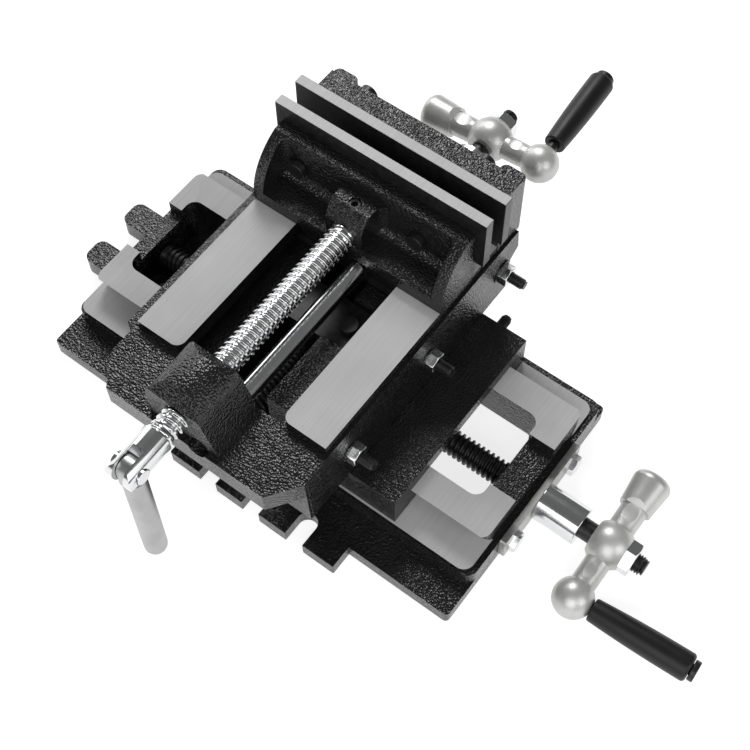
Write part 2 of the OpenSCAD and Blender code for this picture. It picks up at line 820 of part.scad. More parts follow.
module x_feed_nut() {
  color(oxide)
    difference() {
      union() {
        box(saddle_pos - x_nut_half, saddle_pos + x_nut_half, -x_nut_w / 2, x_nut_w / 2,
            x_axis_z - x_screw_d / 2 - x_nut_wall, saddle_under);
        box(saddle_pos - x_nut_flange, saddle_pos + x_nut_flange, -x_nut_w / 2, x_nut_w / 2,
            saddle_under - nut_flange_t, saddle_under);
      }
      bar_x(x_screw_d + fit_d, saddle_pos - x_nut_half - cut, saddle_pos + x_nut_half + cut, 0, x_axis_z);
      for (side = [-1, 1])
        bar_z_at(fix_d, saddle_under - nut_flange_t - cut, saddle_under + cut,
                 saddle_pos + side * x_nut_screw, 0);
    }
}

module x_nut_screws() {
  color(oxide)
    for (side = [-1, 1]) {
      bar_z_at(fix_d, saddle_under - nut_flange_t, saddle_top - cut,
               saddle_pos + side * x_nut_screw, 0);
      bar_z_at(fix_head_d, saddle_under - nut_flange_t - fix_head_h, saddle_under - nut_flange_t,
               saddle_pos + side * x_nut_screw, 0);
    }
}

module y_feed_nut() {
  flange_z = updove_top - nut_flange_t - fix_head_h;
  color(oxide)
    difference() {
      union() {
        box(vise_x - groove_w / 2 + slide_gap, vise_x + groove_w / 2 - slide_gap,
            -y_nut_half + slide_gap, y_nut_half - slide_gap,
            saddle_under + groove_floor, flange_z + nut_flange_t);
        box(vise_x - y_nut_flange + slide_gap, vise_x + y_nut_flange - slide_gap,
            -y_nut_half + slide_gap, y_nut_half - slide_gap, flange_z, flange_z + nut_flange_t);
      }
      bar_y(y_screw_d + fit_d, -y_nut_half - cut, y_nut_half + cut, vise_x, y_axis_z);
      for (side = [-1, 1])
        bar_z_at(fix_d, flange_z - cut, flange_z + nut_flange_t + cut, vise_x + side * y_nut_screw, 0);
    }
}

module y_nut_screws() {
  flange_z = updove_top - nut_flange_t - fix_head_h;
  color(oxide)
    for (side = [-1, 1]) {
      bar_z_at(fix_d, flange_z - fix_len + cut, flange_z + nut_flange_t, vise_x + side * y_nut_screw, 0);
      bar_z_at(fix_head_d, flange_z + nut_flange_t, flange_z + nut_flange_t + fix_head_h - slide_gap,
               vise_x + side * y_nut_screw, 0);
    }
}

module x_gib() {
  color(ground)
    along_x(saddle_left, saddle_right)
      gib_outline(dove_foot + slide_gap * flank, flat_h + slide_gap, saddle_under - slide_gap);
}

// Gib screws of the saddle point out to +Y
module x_gib_screws() {
  color(oxide)
    for (i = [-1, 0, 1])
      bar_y(gib_screw_d, x_gib_y + gib_slip + gib_screw_d * flank, saddle_edge + gib_screw_out,
            saddle_pos + i * x_gib_pitch, x_gib_z);
}

module x_gib_nuts() {
  color(zinc)
    for (i = [-1, 0, 1])
      difference() {
        translate([saddle_pos + i * x_gib_pitch, saddle_edge, x_gib_z])
          rotate([-90, 0, 0])
            hex_head(lock_af, lock_t);
        bar_y(gib_screw_d, saddle_edge - cut, saddle_edge + lock_t + cut,
              saddle_pos + i * x_gib_pitch, x_gib_z);
      }
}

// Cross section of the two ways with their skirts
module way_outline() {
  translate([vise_x, 0])
    polygon([
      [-skirt_foot, skirt_z], [-skirt_top, ledge_z], [-way_out, ledge_z], [-way_out, way_z],
      [way_out, way_z], [way_out, ledge_z], [skirt_top, ledge_z], [skirt_foot, skirt_z]
    ]);
}

// Shelf in front of the ways with chamfered corners
module shelf_outline() {
  edge = skirt_top - shelf_cham_x;
  translate([vise_x, 0])
    polygon([
      [-edge, shelf_front], [edge, shelf_front],
      [skirt_top, shelf_front + shelf_cham_y], [skirt_top, way_front + cut],
      [-skirt_top, way_front + cut], [-skirt_top, shelf_front + shelf_cham_y]
    ]);
}

// Front view of the screw boss, round over the screw and sloped over the rod
module boss_outline() {
  translate([boss_x, boss_z])
    circle(boss_r);
  polygon([
    [boss_x - boss_r, ledge_z - cut], [boss_x - boss_r, boss_z],
    [boss_x + boss_r * cos(boss_turn), boss_z + boss_r * sin(boss_turn)],
    [vise_x + boss_foot, ledge_z - cut]
  ]);
}

// Plan of the corner taken off the front end of a way
module way_corner() {
  difference() {
    translate([-cut, -cut])
      square(way_r + cut);
    translate([way_r, way_r])
      circle(way_r);
  }
}

// Side view of the slopes on the front and the back of the screw boss
module boss_slopes() {
  polygon([
    [boss_front - cut, screw_z + jaw_screw_d / 2], [boss_front - cut, boss_top + cut],
    [boss_front + boss_slope, boss_top + cut]
  ]);
  polygon([
    [boss_back + cut, boss_top - boss_tail - cut], [boss_back + cut, boss_top + cut],
    [boss_back - boss_tail - cut, boss_top + cut]
  ]);
}

module vise_casting() {
  color(enamel)
    difference() {
      union() {
        along_y(way_front, fixed_back)
          way_outline();
        along_z(beam_z, ledge_z)
          shelf_outline();
        difference() {
          along_y(shelf_front + shelf_cham_y, way_front + cut)
            way_outline();
          box(vise_x - skirt_foot - cut, vise_x + skirt_foot + cut,
              shelf_front, way_front, ledge_z, way_z + cut);
        }
        along_y(boss_front, boss_back)
          boss_outline();
        box(vise_x - jaw_half, vise_x + jaw_half, fixed_face, fixed_back, ledge_z, jaw_top);
        for (x = [vise_x - jaw_half, vise_x + jaw_half - fixed_rib_w])
          along_z(ledge_z, jaw_top - fixed_rib_low)
            soft_rect(x, x + fixed_rib_w, fixed_back - 2 * fixed_rib_r, fixed_back + fixed_rib, fixed_rib_r);
        box(vise_x - rear_half, vise_x + rear_half, rear_wall, rear_out,
            y_axis_z - end_plate_h / 2, ledge_z);
        box(vise_x - rear_half, vise_x + rear_half, fixed_back - fixed_t, rear_wall + cut,
            beam_z, ledge_z);
        for (i = [-1, 0, 1])
          bar_x(pad_d, vise_x + skirt_top - gib_t, vise_x + pad_x, y_gib_mid + i * y_gib_pitch, y_gib_z);
      }
      along_y(shelf_front - cut, rear_wall)
        translate([vise_x, 0])
          dove_outline(updove_half + slide_gap, updove_half + gib_slip + slide_gap,
                       updove_z, beam_z);
      box(vise_x - updove_half - slide_gap, vise_x + updove_half + gib_slip + slide_gap,
          shelf_front - cut, rear_wall, skirt_z - cut, updove_z + hair);
      box(vise_x - way_in, vise_x + way_in, way_front, fixed_face, beam_z - cut, way_z + cut);
      box(vise_x - keeper_w / 2 - cut, vise_x + keeper_w / 2 + cut, way_front, fixed_face,
          beam_z - cut, beam_z + ledge_in + cut);
      for (side = [-1, 1])
        translate([vise_x + side * (skirt_foot + updove_half) / 2, skirt_back, skirt_low])
          rotate([skirt_slant, 0, 0])
            translate([-skirt_foot / 2, 0, -2 * skirt_cut])
              cube([skirt_foot, 3 * skirt_cut, 3 * skirt_cut]);
      for (side = [-1, 1])
        translate([vise_x + side * way_in, way_front, 0])
          mirror([side > 0 ? 0 : 1, 0, 0])
            along_z(ledge_z, way_z + cut)
              way_corner();
      along_x(boss_x - 2 * boss_r, boss_x + 2 * boss_r)
        boss_slopes();
      bar_y(jaw_screw_d + fit_d, shelf_front - cut, boss_back + cut, screw_x, screw_z);
      bar_y(rod_d + fit_d, shelf_front - cut, way_front + cut, rod_x, rod_z);
      bar_y(shank_d + fit_d, rear_wall - cut, rear_out + cut, vise_x, y_axis_z);
      for (side = [-1, 1])
        bar_y(fix_d, rear_out - fix_len, rear_out + cut, vise_x + side * end_hole, y_axis_z);
      for (x = plate_holes) {
        bar_y(fix_d, fixed_face - cut, fixed_back + cut, vise_x + x, hole_z);
        bar_y(fix_head_d + 2 * slide_gap, fixed_back, fixed_back + fixed_rib + cut, vise_x + x, hole_z);
      }
      for (i = [-1, 0, 1])
        bar_x(gib_screw_d, vise_x + y_gib_x, vise_x + pad_x + cut, y_gib_mid + i * y_gib_pitch, y_gib_z);
    }
}

// Jaw plate between two Y positions with blind screw holes on its back
module jaw_plate(y0, hole_y0, hole_y1) {
  difference() {
    along_y(y0, y0 + jaw_plate_t)
      translate([vise_x - jaw_w / 2, plate_z])
        square([jaw_w, jaw_plate_h]);
    for (x = plate_holes)
      bar_y(fix_d, hole_y0, hole_y1, vise_x + x, hole_z);
  }
}

module fixed_jaw_plate() {
  color(ground)
    jaw_plate(fixed_grip, fixed_grip + jaw_plate_t / 3, fixed_face + cut);
}

module moving_jaw_plate() {
  color(ground)
    jaw_plate(moving_face, moving_face - cut, moving_grip - jaw_plate_t / 3);
}

module fixed_jaw_screws() {
  color(zinc)
    for (x = plate_holes) {
      bar_y(fix_d, fixed_grip + jaw_plate_t / 3, fixed_back, vise_x + x, hole_z);
      bar_y(fix_head_d, fixed_back, fixed_back + tail_len, vise_x + x, hole_z);
    }
}

module moving_jaw_screws() {
  color(zinc)
    for (x = plate_holes) {
      bar_y(fix_d, wall_front, moving_grip - jaw_plate_t / 3, vise_x + x, hole_z);
      bar_y(fix_head_d, wall_front - fix_head_h, wall_front, vise_x + x, hole_z);
    }
}

module y_gib() {
  color(ground)
    along_y(shelf_front + shelf_cham_y, fixed_face)
      translate([vise_x, 0])
        gib_outline(updove_half, updove_z, beam_z - slide_gap);
}

// Gib screws of the vise body point out to +X
module y_gib_screws() {
  color(oxide)
    for (i = [-1, 0, 1])
      bar_x(gib_screw_d, vise_x + y_gib_x + gib_slip + gib_screw_d * flank, vise_x + pad_x + gib_screw_out,
            y_gib_mid + i * y_gib_pitch, y_gib_z);
}

module y_gib_nuts() {
  color(zinc)
    for (i = [-1, 0, 1])
      difference() {
        translate([vise_x + pad_x, y_gib_mid + i * y_gib_pitch, y_gib_z])
          rotate([0, 90, 0])
            hex_head(lock_af, lock_t);
        bar_x(gib_screw_d, vise_x + pad_x - cut, vise_x + pad_x + lock_t + cut,
              y_gib_mid + i * y_gib_pitch, y_gib_z);
      }
}

module y_end_plate() {
  color(zinc)
    at_y_drive(rear_out)
      end_plate();
}

module y_sleeve() {
  color(chrome)
    at_y_drive(y_plate_out)
      bearing_sleeve(y_sleeve_len);
}

module y_plate_screws() {
  color(zinc)
    at_y_drive(rear_out)
      end_plate_screws();
}

module x_feed_screw() {
  color(oxide) {
    bar_x(journal_d, -base_len / 2 + cut, -window_left + cut, 0, x_axis_z);
    bar_x(x_screw_d, -window_left + bite, window_right - bite, 0, x_axis_z);
    bar_x(shank_d, window_right - cut, x_hub - hub_w / 2, 0, x_axis_z);
    bar_x(seat_d, x_hub - hub_w / 2 - cut, x_hub + hub_w / 2 + crank_nut_t + seat_out, 0, x_axis_z);
  }
}

module y_feed_screw() {
  color(oxide) {
    bar_y(y_screw_d, y_screw_end, rear_wall - bite, vise_x, y_axis_z);
    bar_y(shank_d, rear_wall - cut, y_hub - hub_w / 2, vise_x, y_axis_z);
    bar_y(seat_d, y_hub - hub_w / 2 - cut, y_hub + hub_w / 2 + crank_nut_t + seat_out, vise_x, y_axis_z);
  }
}

module x_collar() {
  color(oxide)
    at_x_drive(x_plate_out)
      thrust_collar();
}

module y_collar() {
  color(oxide)
    at_y_drive(y_plate_out)
      thrust_collar();
}

// Half section of the crank: radius in X, distance along the arm in Y
module crank_section() {
  rim = weight_d / 2 - weight_round;
  tip = crank_r + weight_half;
  intersection() {
    translate([0, -2 * crank_r])
      square([hub_d, 4 * crank_r]);
    union() {
      translate([0, -crank_r])
        circle(d = ball_d);
      circle(d = hub_d);
      polygon([
        [0, -crank_r], [arm_ball_d / 2, -crank_r], [arm_d / 2, 0],
        [arm_weight_d / 2, crank_r], [0, crank_r]
      ]);
      polygon([
        [0, crank_r - weight_half], [weight_neck_d / 2, crank_r - weight_half],
        [weight_d / 2, tip - weight_round], [0, tip - weight_round]
      ]);
      translate([rim, tip - weight_round])
        circle(weight_round);
      translate([0, crank_r])
        square([rim, weight_half]);
    }
  }
}

// Ball crank: axis along X, grip ball at -Y, counterweight at +Y
module crank_arm() {
  difference() {
    rotate([-90, 0, 0])
      rotate([0, 0, seam_turn])
        rotate_extrude()
          crank_section();
    for (side = [-1, 1])
      mirror([side > 0 ? 0 : 1, 0, 0])
        box(hub_w / 2, hub_d, -hub_d / 2, hub_d / 2, -hub_d, hub_d);
    bar_x(seat_d, -hub_d, hub_d, 0, 0);
    for (side = [-1, 1], y = [-hollow_at, hollow_at])
      translate([0, y, side * (arm_d / 2 + hollow_r - hollow_deep)])
        rotate([0, 90, 0])
          cylinder(r = hollow_r, h = hub_d, center = true);
    at_grip()
      bar_x(stud_d, stud_start, ball_d, 0, 0);
    at_grip()
      box(grip_start, ball_d, -ball_d, ball_d, -ball_d, ball_d);
  }
}

// Moves a grip piece onto the crank ball, leaning towards the axis
module at_grip() {
  translate([0, -crank_r, 0])
    rotate([0, 0, grip_lean])
      children();
}

// Stud with a head that holds the grip on the crank
module grip_stud(slip) {
  at_grip() {
    bar_x(stud_d, stud_start, stud_end + slip, 0, 0);
    bar_x(stud_head_d, stud_end + slip, stud_end + slip + stud_head_h, 0, 0);
  }
}

// Radius of a grip at a distance from the crank
function grip_r(t) = grip_d2 / 2 - (grip_d2 - grip_d1) / 2 * pow(1 - t / grip_full, 2);

// Half section of a grip: radius in X, distance from the crank in Y
module grip_section() {
  flat_r = grip_d2 / 2 - grip_round;
  swell = [for (i = [0:grip_rings]) let (t = grip_full * i / grip_rings) [grip_r(t), t]];
  intersection() {
    polygon(concat([[0, 0]], swell, [[grip_d2 / 2, grip_len], [0, grip_len]]));
    union() {
      square([grip_d2, grip_len - grip_round]);
      square([flat_r, grip_len]);
      translate([flat_r, grip_len - grip_round])
        circle(grip_round);
    }
  }
}

// Swelling grip that turns on its stud
module grip(slip) {
  at_grip()
    translate([slip, 0, 0])
      difference() {
        translate([grip_start + slide_gap, 0, 0])
          rotate([0, 90, 0])
            rotate_extrude()
              grip_section();
        bar_x(stud_d + fit_d, 0, stud_end + cut, 0, 0);
      }
}

// Hexagon nut on the crank seat
module crank_nut() {
  difference() {
    translate([hub_w / 2, 0, 0])
      rotate([0, 90, 0])
        hex_head(crank_nut_af, crank_nut_t);
    bar_x(seat_d, 0, hub_w + crank_nut_t, 0, 0);
  }
}

// Puts a crank piece on the lower feed screw
module on_x_crank() {
  translate([x_hub, 0, x_axis_z])
    rotate([x_crank_turn, 0, 0])
      children();
}

// Puts a crank piece on the upper feed screw
module on_y_crank() {
  translate([vise_x, y_hub, y_axis_z])
    rotate([y_crank_turn, 0, 90])
      children();
}

module x_crank_arm() {
  color(satin)
    on_x_crank()
      crank_arm();
}

module x_crank_nut() {
  color(zinc)
    on_x_crank()
      crank_nut();
}

module x_grip_stud() {
  color(oxide)
    on_x_crank()
      grip_stud(0);
}

module x_grip() {
  color(plastic)
    on_x_crank()
      grip(0);
}

module y_crank_arm() {
  color(satin)
    on_y_crank()
      crank_arm();
}

module y_crank_nut() {
  color(zinc)
    on_y_crank()
      crank_nut();
}

module y_grip_stud() {
  color(oxide)
    on_y_crank()
      grip_stud(y_grip_slip);
}

module y_grip() {
  color(plastic)
    on_y_crank()
      grip(y_grip_slip);
}

// Side view of the moving jaw, rounded over its front
module rib_outline() {
  intersection() {
    translate([moving_front, jaw_z])
      square([moving_t, jaw_top - jaw_z]);
    union() {
      translate([moving_front, jaw_z])
        square([moving_t, rib_rise]);
      translate([moving_front + rib_round, jaw_z + rib_rise])
        circle(rib_round);
    }
  }
}

// Plan of a pocket in the front of the moving jaw, with rounded back corners
module pocket_outline(x0, x1) {
  soft_rect(x0, x1, moving_front - 2 * pocket_r, wall_front, pocket_r);
}

// Side view of the fillet between the floor and the back of a pocket
module floor_fillet() {
  translate([wall_front - floor_r, jaw_z + moving_foot])
    difference() {
      square(floor_r);
      translate([0, floor_r])
        circle(floor_r);
    }
}

module moving_jaw() {
  block_x = screw_x - block_w / 2;
  block_top = jaw_top - block_drop;
  foot_top = jaw_z + moving_foot;
  color(enamel)
    difference() {
      union() {
        difference() {
          along_x(vise_x - jaw_half, vise_x + jaw_half)
            rib_outline();
          along_z(foot_top, jaw_top + cut) {
            pocket_outline(vise_x - jaw_half + moving_rib, block_x);
            pocket_outline(block_x + block_w, vise_x + jaw_half - moving_rib);
          }
          box(block_x - pocket_r, block_x + block_w + pocket_r, moving_front - cut, neck_y,
              foot_top, jaw_top + cut);
          box(block_x - pocket_r, block_x + block_w + pocket_r, moving_front - cut, wall_front,
              block_top, jaw_top + cut);
        }
        along_x(vise_x - jaw_half + cut, vise_x + jaw_half - cut)
          floor_fillet();
        box(vise_x - tongue_half, vise_x + tongue_half, tongue_front, tongue_back, keeper_top, jaw_z + cut);
      }
      bar_y(jaw_screw_d + 2 * slide_gap, moving_front - cut, neck_y, screw_x, screw_z);
      bar_y(jaw_neck_d + fit_d, neck_y - cut, neck_end + slide_gap, screw_x, screw_z);
      bar_y(rod_d, tongue_front - cut, rod_end, rod_x, rod_z);
      box(rod_x - rod_d / 2 - bite, rod_x + rod_d / 2 + bite, moving_front - cut, tongue_front, jaw_z - cut,
          rod_z + rod_d / 2 + bite);
      bar_z_at(fix_d, screw_z, jaw_top + cut, screw_x, set_y);
      for (x = plate_holes) {
        bar_y(fix_d, wall_front - cut, moving_face + cut, vise_x + x, hole_z);
        bar_y(fix_head_d + 2 * slide_gap, moving_front - cut, wall_front, vise_x + x, hole_z);
      }
      for (side = [-1, 1])
        bar_z_at(fix_d, keeper_top - cut, keeper_top + keeper_deep, vise_x + side * keeper_hole,
                 keeper_y);
    }
}

module guide_rod() {
  color(chrome)
    bar_y(rod_d, boss_front + rod_sunk, rod_end, rod_x, rod_z);
}

module keeper_strip() {
  color(ground)
    difference() {
      box(vise_x - keeper_w / 2, vise_x + keeper_w / 2, tongue_front, tongue_back, keeper_z, keeper_top);
      for (side = [-1, 1]) {
        bar_z_at(fix_d, keeper_z - cut, keeper_top + cut, vise_x + side * keeper_hole,
                 keeper_y);
        bar_z_at(fix_head_d, keeper_z - cut, keeper_z + keeper_sink, vise_x + side * keeper_hole,
                 keeper_y);
      }
    }
}

module keeper_screws() {
  color(oxide)
    for (side = [-1, 1]) {
      bar_z_at(fix_d, keeper_z + 2 * hair, keeper_top + keeper_deep - cut, vise_x + side * keeper_hole,
               keeper_y);
      bar_z_at(fix_head_d, keeper_z + 2 * hair, keeper_z + keeper_sink, vise_x + side * keeper_hole,
               keeper_y);
    }
}

module neck_set_screw() {
  color(oxide)
    difference() {
      bar_z_at(fix_d, screw_z + groove_d / 2 + bite, jaw_top - block_drop - cut, screw_x, set_y);
      translate([screw_x, set_y, jaw_top - block_drop - socket_deep])
        hex(fix_d / 2, socket_deep);
    }
}

// Puts a jaw screw piece on the screw axis, rolled as drawn
module on_jaw_screw() {
  translate([screw_x, 0, screw_z])
    rotate([0, -screw_roll, 0])
      children();
}

module jaw_screw() {
  color(chrome)
    on_jaw_screw()
      difference() {
        union() {
          bar_y(jaw_screw_d, fork_root - cut, neck_y - slide_gap, 0, 0);
          bar_y(jaw_neck_d, neck_y - cut, neck_end, 0, 0);
          bar_y(fork_d, pin_y, fork_root, 0, 0);
          intersection() {
            bar_y(fork_d, pin_y - fork_d, fork_root, 0, 0);
            bar_x(2 * cheek_r, -fork_d, fork_d, pin_y, 0);
          }
        }
        difference() {
          bar_y(2 * jaw_neck_d, set_y - neck_groove_w / 2, set_y + neck_groove_w / 2, 0, 0);
          bar_y(groove_d, set_y - neck_groove_w, set_y + neck_groove_w, 0, 0);
        }
        box(-fork_slot / 2, fork_slot / 2, pin_y - fork_d, pin_y + tongue_r + fork_room, -fork_d, fork_d);
        bar_x(pin_d, -fork_d, fork_d, pin_y, 0);
        bar_x(pin_head_d + 2 * slide_gap, seat_x, fork_d, pin_y, 0);
        bar_x(pin_head_d + 2 * slide_gap, -fork_d, -seat_x, pin_y, 0);
      }
}

module handle_pin() {
  color(chrome)
    on_jaw_screw() {
      bar_x(pin_d, -seat_x, seat_x, pin_y, 0);
      bar_x(pin_head_d, seat_x, seat_x + pin_head_h, pin_y, 0);
      bar_x(pin_head_d, -seat_x - pin_head_h, -seat_x, pin_y, 0);
    }
}

module handle_bar() {
  tongue = fork_slot - 2 * slide_gap;
  color(satin)
    on_jaw_screw()
      translate([0, pin_y, 0])
        rotate([-handle_slant, 0, 0])
          difference() {
            union() {
              bar_x(2 * tongue_r, -tongue / 2, tongue / 2, 0, 0);
              box(-tongue / 2, tongue / 2, -tongue_r, tongue_r, -shoulder - cut, 0);
              bar_z_at(handle_d, -handle_len + handle_d / 2, -shoulder, 0, 0);
              translate([0, 0, -handle_len + handle_d / 2])
                sphere(d = handle_d);
            }
            bar_x(pin_d + fit_d, -handle_d, handle_d, 0, 0);
          }
}

base_casting();
x_end_plate();
x_sleeve();
x_plate_screws();
saddle_casting();
x_feed_nut();
x_nut_screws();
y_feed_nut();
y_nut_screws();
x_gib();
x_gib_screws();
x_gib_nuts();
vise_casting();
fixed_jaw_plate();
fixed_jaw_screws();
y_gib();
y_gib_screws();
y_gib_nuts();
y_end_plate();
y_sleeve();
y_plate_screws();
x_feed_screw();
x_collar();
x_crank_arm();
x_crank_nut();
x_grip_stud();
x_grip();
y_feed_screw();
y_collar();
y_crank_arm();
y_crank_nut();
y_grip_stud();
y_grip();
moving_jaw();
moving_jaw_plate();
moving_jaw_screws();
guide_rod();
keeper_strip();
keeper_screws();
neck_set_screw();
jaw_screw();
handle_pin();
handle_bar();
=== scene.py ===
"""Looks of a cross slide vise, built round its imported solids.

Run as a script: the frame is loaded, each operator dresses a group of pieces, and the stage comes last.
"""

import json
import math

import bmesh
import bpy
import numpy as np
from bpy.props import FloatProperty, FloatVectorProperty, PointerProperty
from mathutils import Matrix, Vector


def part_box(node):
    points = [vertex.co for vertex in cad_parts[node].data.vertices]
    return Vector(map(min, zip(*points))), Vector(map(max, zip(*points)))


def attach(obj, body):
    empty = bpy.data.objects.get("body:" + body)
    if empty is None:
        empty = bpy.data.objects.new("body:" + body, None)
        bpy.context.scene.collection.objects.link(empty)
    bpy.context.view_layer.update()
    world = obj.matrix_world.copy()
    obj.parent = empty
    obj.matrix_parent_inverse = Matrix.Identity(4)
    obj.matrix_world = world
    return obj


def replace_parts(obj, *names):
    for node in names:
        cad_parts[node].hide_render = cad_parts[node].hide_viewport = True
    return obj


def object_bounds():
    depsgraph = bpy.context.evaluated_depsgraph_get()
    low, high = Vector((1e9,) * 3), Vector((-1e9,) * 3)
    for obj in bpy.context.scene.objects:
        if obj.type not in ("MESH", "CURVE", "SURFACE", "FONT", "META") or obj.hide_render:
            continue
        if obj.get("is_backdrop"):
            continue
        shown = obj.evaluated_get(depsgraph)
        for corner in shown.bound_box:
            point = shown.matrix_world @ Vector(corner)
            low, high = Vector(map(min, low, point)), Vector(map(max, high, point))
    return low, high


bl_info = {
    "name": "Cross slide vise",
    "version": (1, 0, 0),
    "blender": (4, 5, 0),
    "location": "View3D > Sidebar > Vise",
    "description": "Dresses the solids of a cross slide vise with castings, threads and finishes",
    "category": "Object",
}

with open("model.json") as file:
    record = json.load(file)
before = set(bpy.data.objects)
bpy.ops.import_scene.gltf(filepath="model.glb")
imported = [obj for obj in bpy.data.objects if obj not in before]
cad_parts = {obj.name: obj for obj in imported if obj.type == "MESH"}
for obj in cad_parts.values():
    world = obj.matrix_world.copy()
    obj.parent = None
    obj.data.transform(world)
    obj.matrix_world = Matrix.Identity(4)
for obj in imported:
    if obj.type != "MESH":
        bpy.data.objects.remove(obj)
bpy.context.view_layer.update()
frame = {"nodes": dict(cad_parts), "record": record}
BODIES = frame["record"]["behaviour"]["bodies"]
BODY_OF = {node: body for body, nodes in BODIES.items() for node in nodes}
MM = 0.001

# Points of a solid's mesh nearer than this are welded, and faces that bend less than this are one face.
WELD = 0.002 * MM
FLAT = math.radians(0.4)

# Edges sharper than these angles are rounded: on most pieces, on hexagons, on the cranks and on the grips.
SHARP = math.radians(35.0)
HEX_SHARP = math.radians(25.0)
CRANK_SHARP = math.radians(22.0)
GRIP_SHARP = math.radians(12.0)
BEVEL_STEPS = 3

# Edges of a turned bar sharper than this stay crisp, and rows of its grid nearer than this are one row.
CREASE = math.radians(60.0)
SAME_ROW = 0.0001 * MM

# A face lies in a plane within this height, and looks up when its normal rises at least this much.
PLANE_NEAR = 0.05 * MM
UPRIGHT = 0.999

# A thread's groove in shares of its pitch: half its width, and the width of one flank.
HALF_GROOVE = 0.37
FLANK = 0.2

# Screws in each gib strip.
GIB_SCREWS = 3

# Floor: half its width in metres, its drop below the vise, and its added light for the camera and mirrors.
FLOOR_REACH = 40.0
FLOOR_DROP = 0.2 * MM
FLOOR_LIFT = 0.8

# Soft light from all round, the point the lamps look at, and the lamps: name, place, width in metres, watts.
WORLD_LIGHT = 0.15
LAMP_AIM = (0.02, 0.0, 0.05)
LAMPS = (
    ("rear_softbox", (-0.62, 0.8, 1.14), 0.55, 10.5),
    ("left_softbox", (-1.35, 0.62, 0.66), 0.9, 5.5),
    ("right_softbox", (1.5, -0.2, 0.9), 1.0, 8.0),
    ("front_softbox", (0.5, -1.35, 1.0), 1.4, 14.0),
)

# Camera: place and clipping in metres, angles in degrees, lens and sensor in millimetres.
EYE = (0.24438, -0.28020, 0.67203)
AZIMUTH = 37.723
ELEVATION = 61.110
ROLL = -0.979
LENS = 68.51
SENSOR = 36.0
CLIP_NEAR = 0.01
CLIP_FAR = 100.0


def srgb(code):
    """Linear colour of an sRGB hex value."""
    c = np.array([int(code[i:i + 2], 16) for i in (1, 3, 5)]) / 255.0
    return tuple(np.where(c <= 0.04045, c / 12.92, ((c + 0.055) / 1.055) ** 2.4))


def per_metre(size_mm):
    """Pattern scale that repeats once in so many millimetres of Object coordinates."""
    return 1000.0 / size_mm


def size(label, words, size_mm):
    """Length property, given in millimetres and kept in metres."""
    return FloatProperty(name=label, description=words, default=size_mm * MM, unit="LENGTH", precision=5)


def colour(label, words, code):
    """Colour property from an sRGB hex value."""
    return FloatVectorProperty(
        name=label, description=words, default=srgb(code), subtype="COLOR", min=0, max=1)


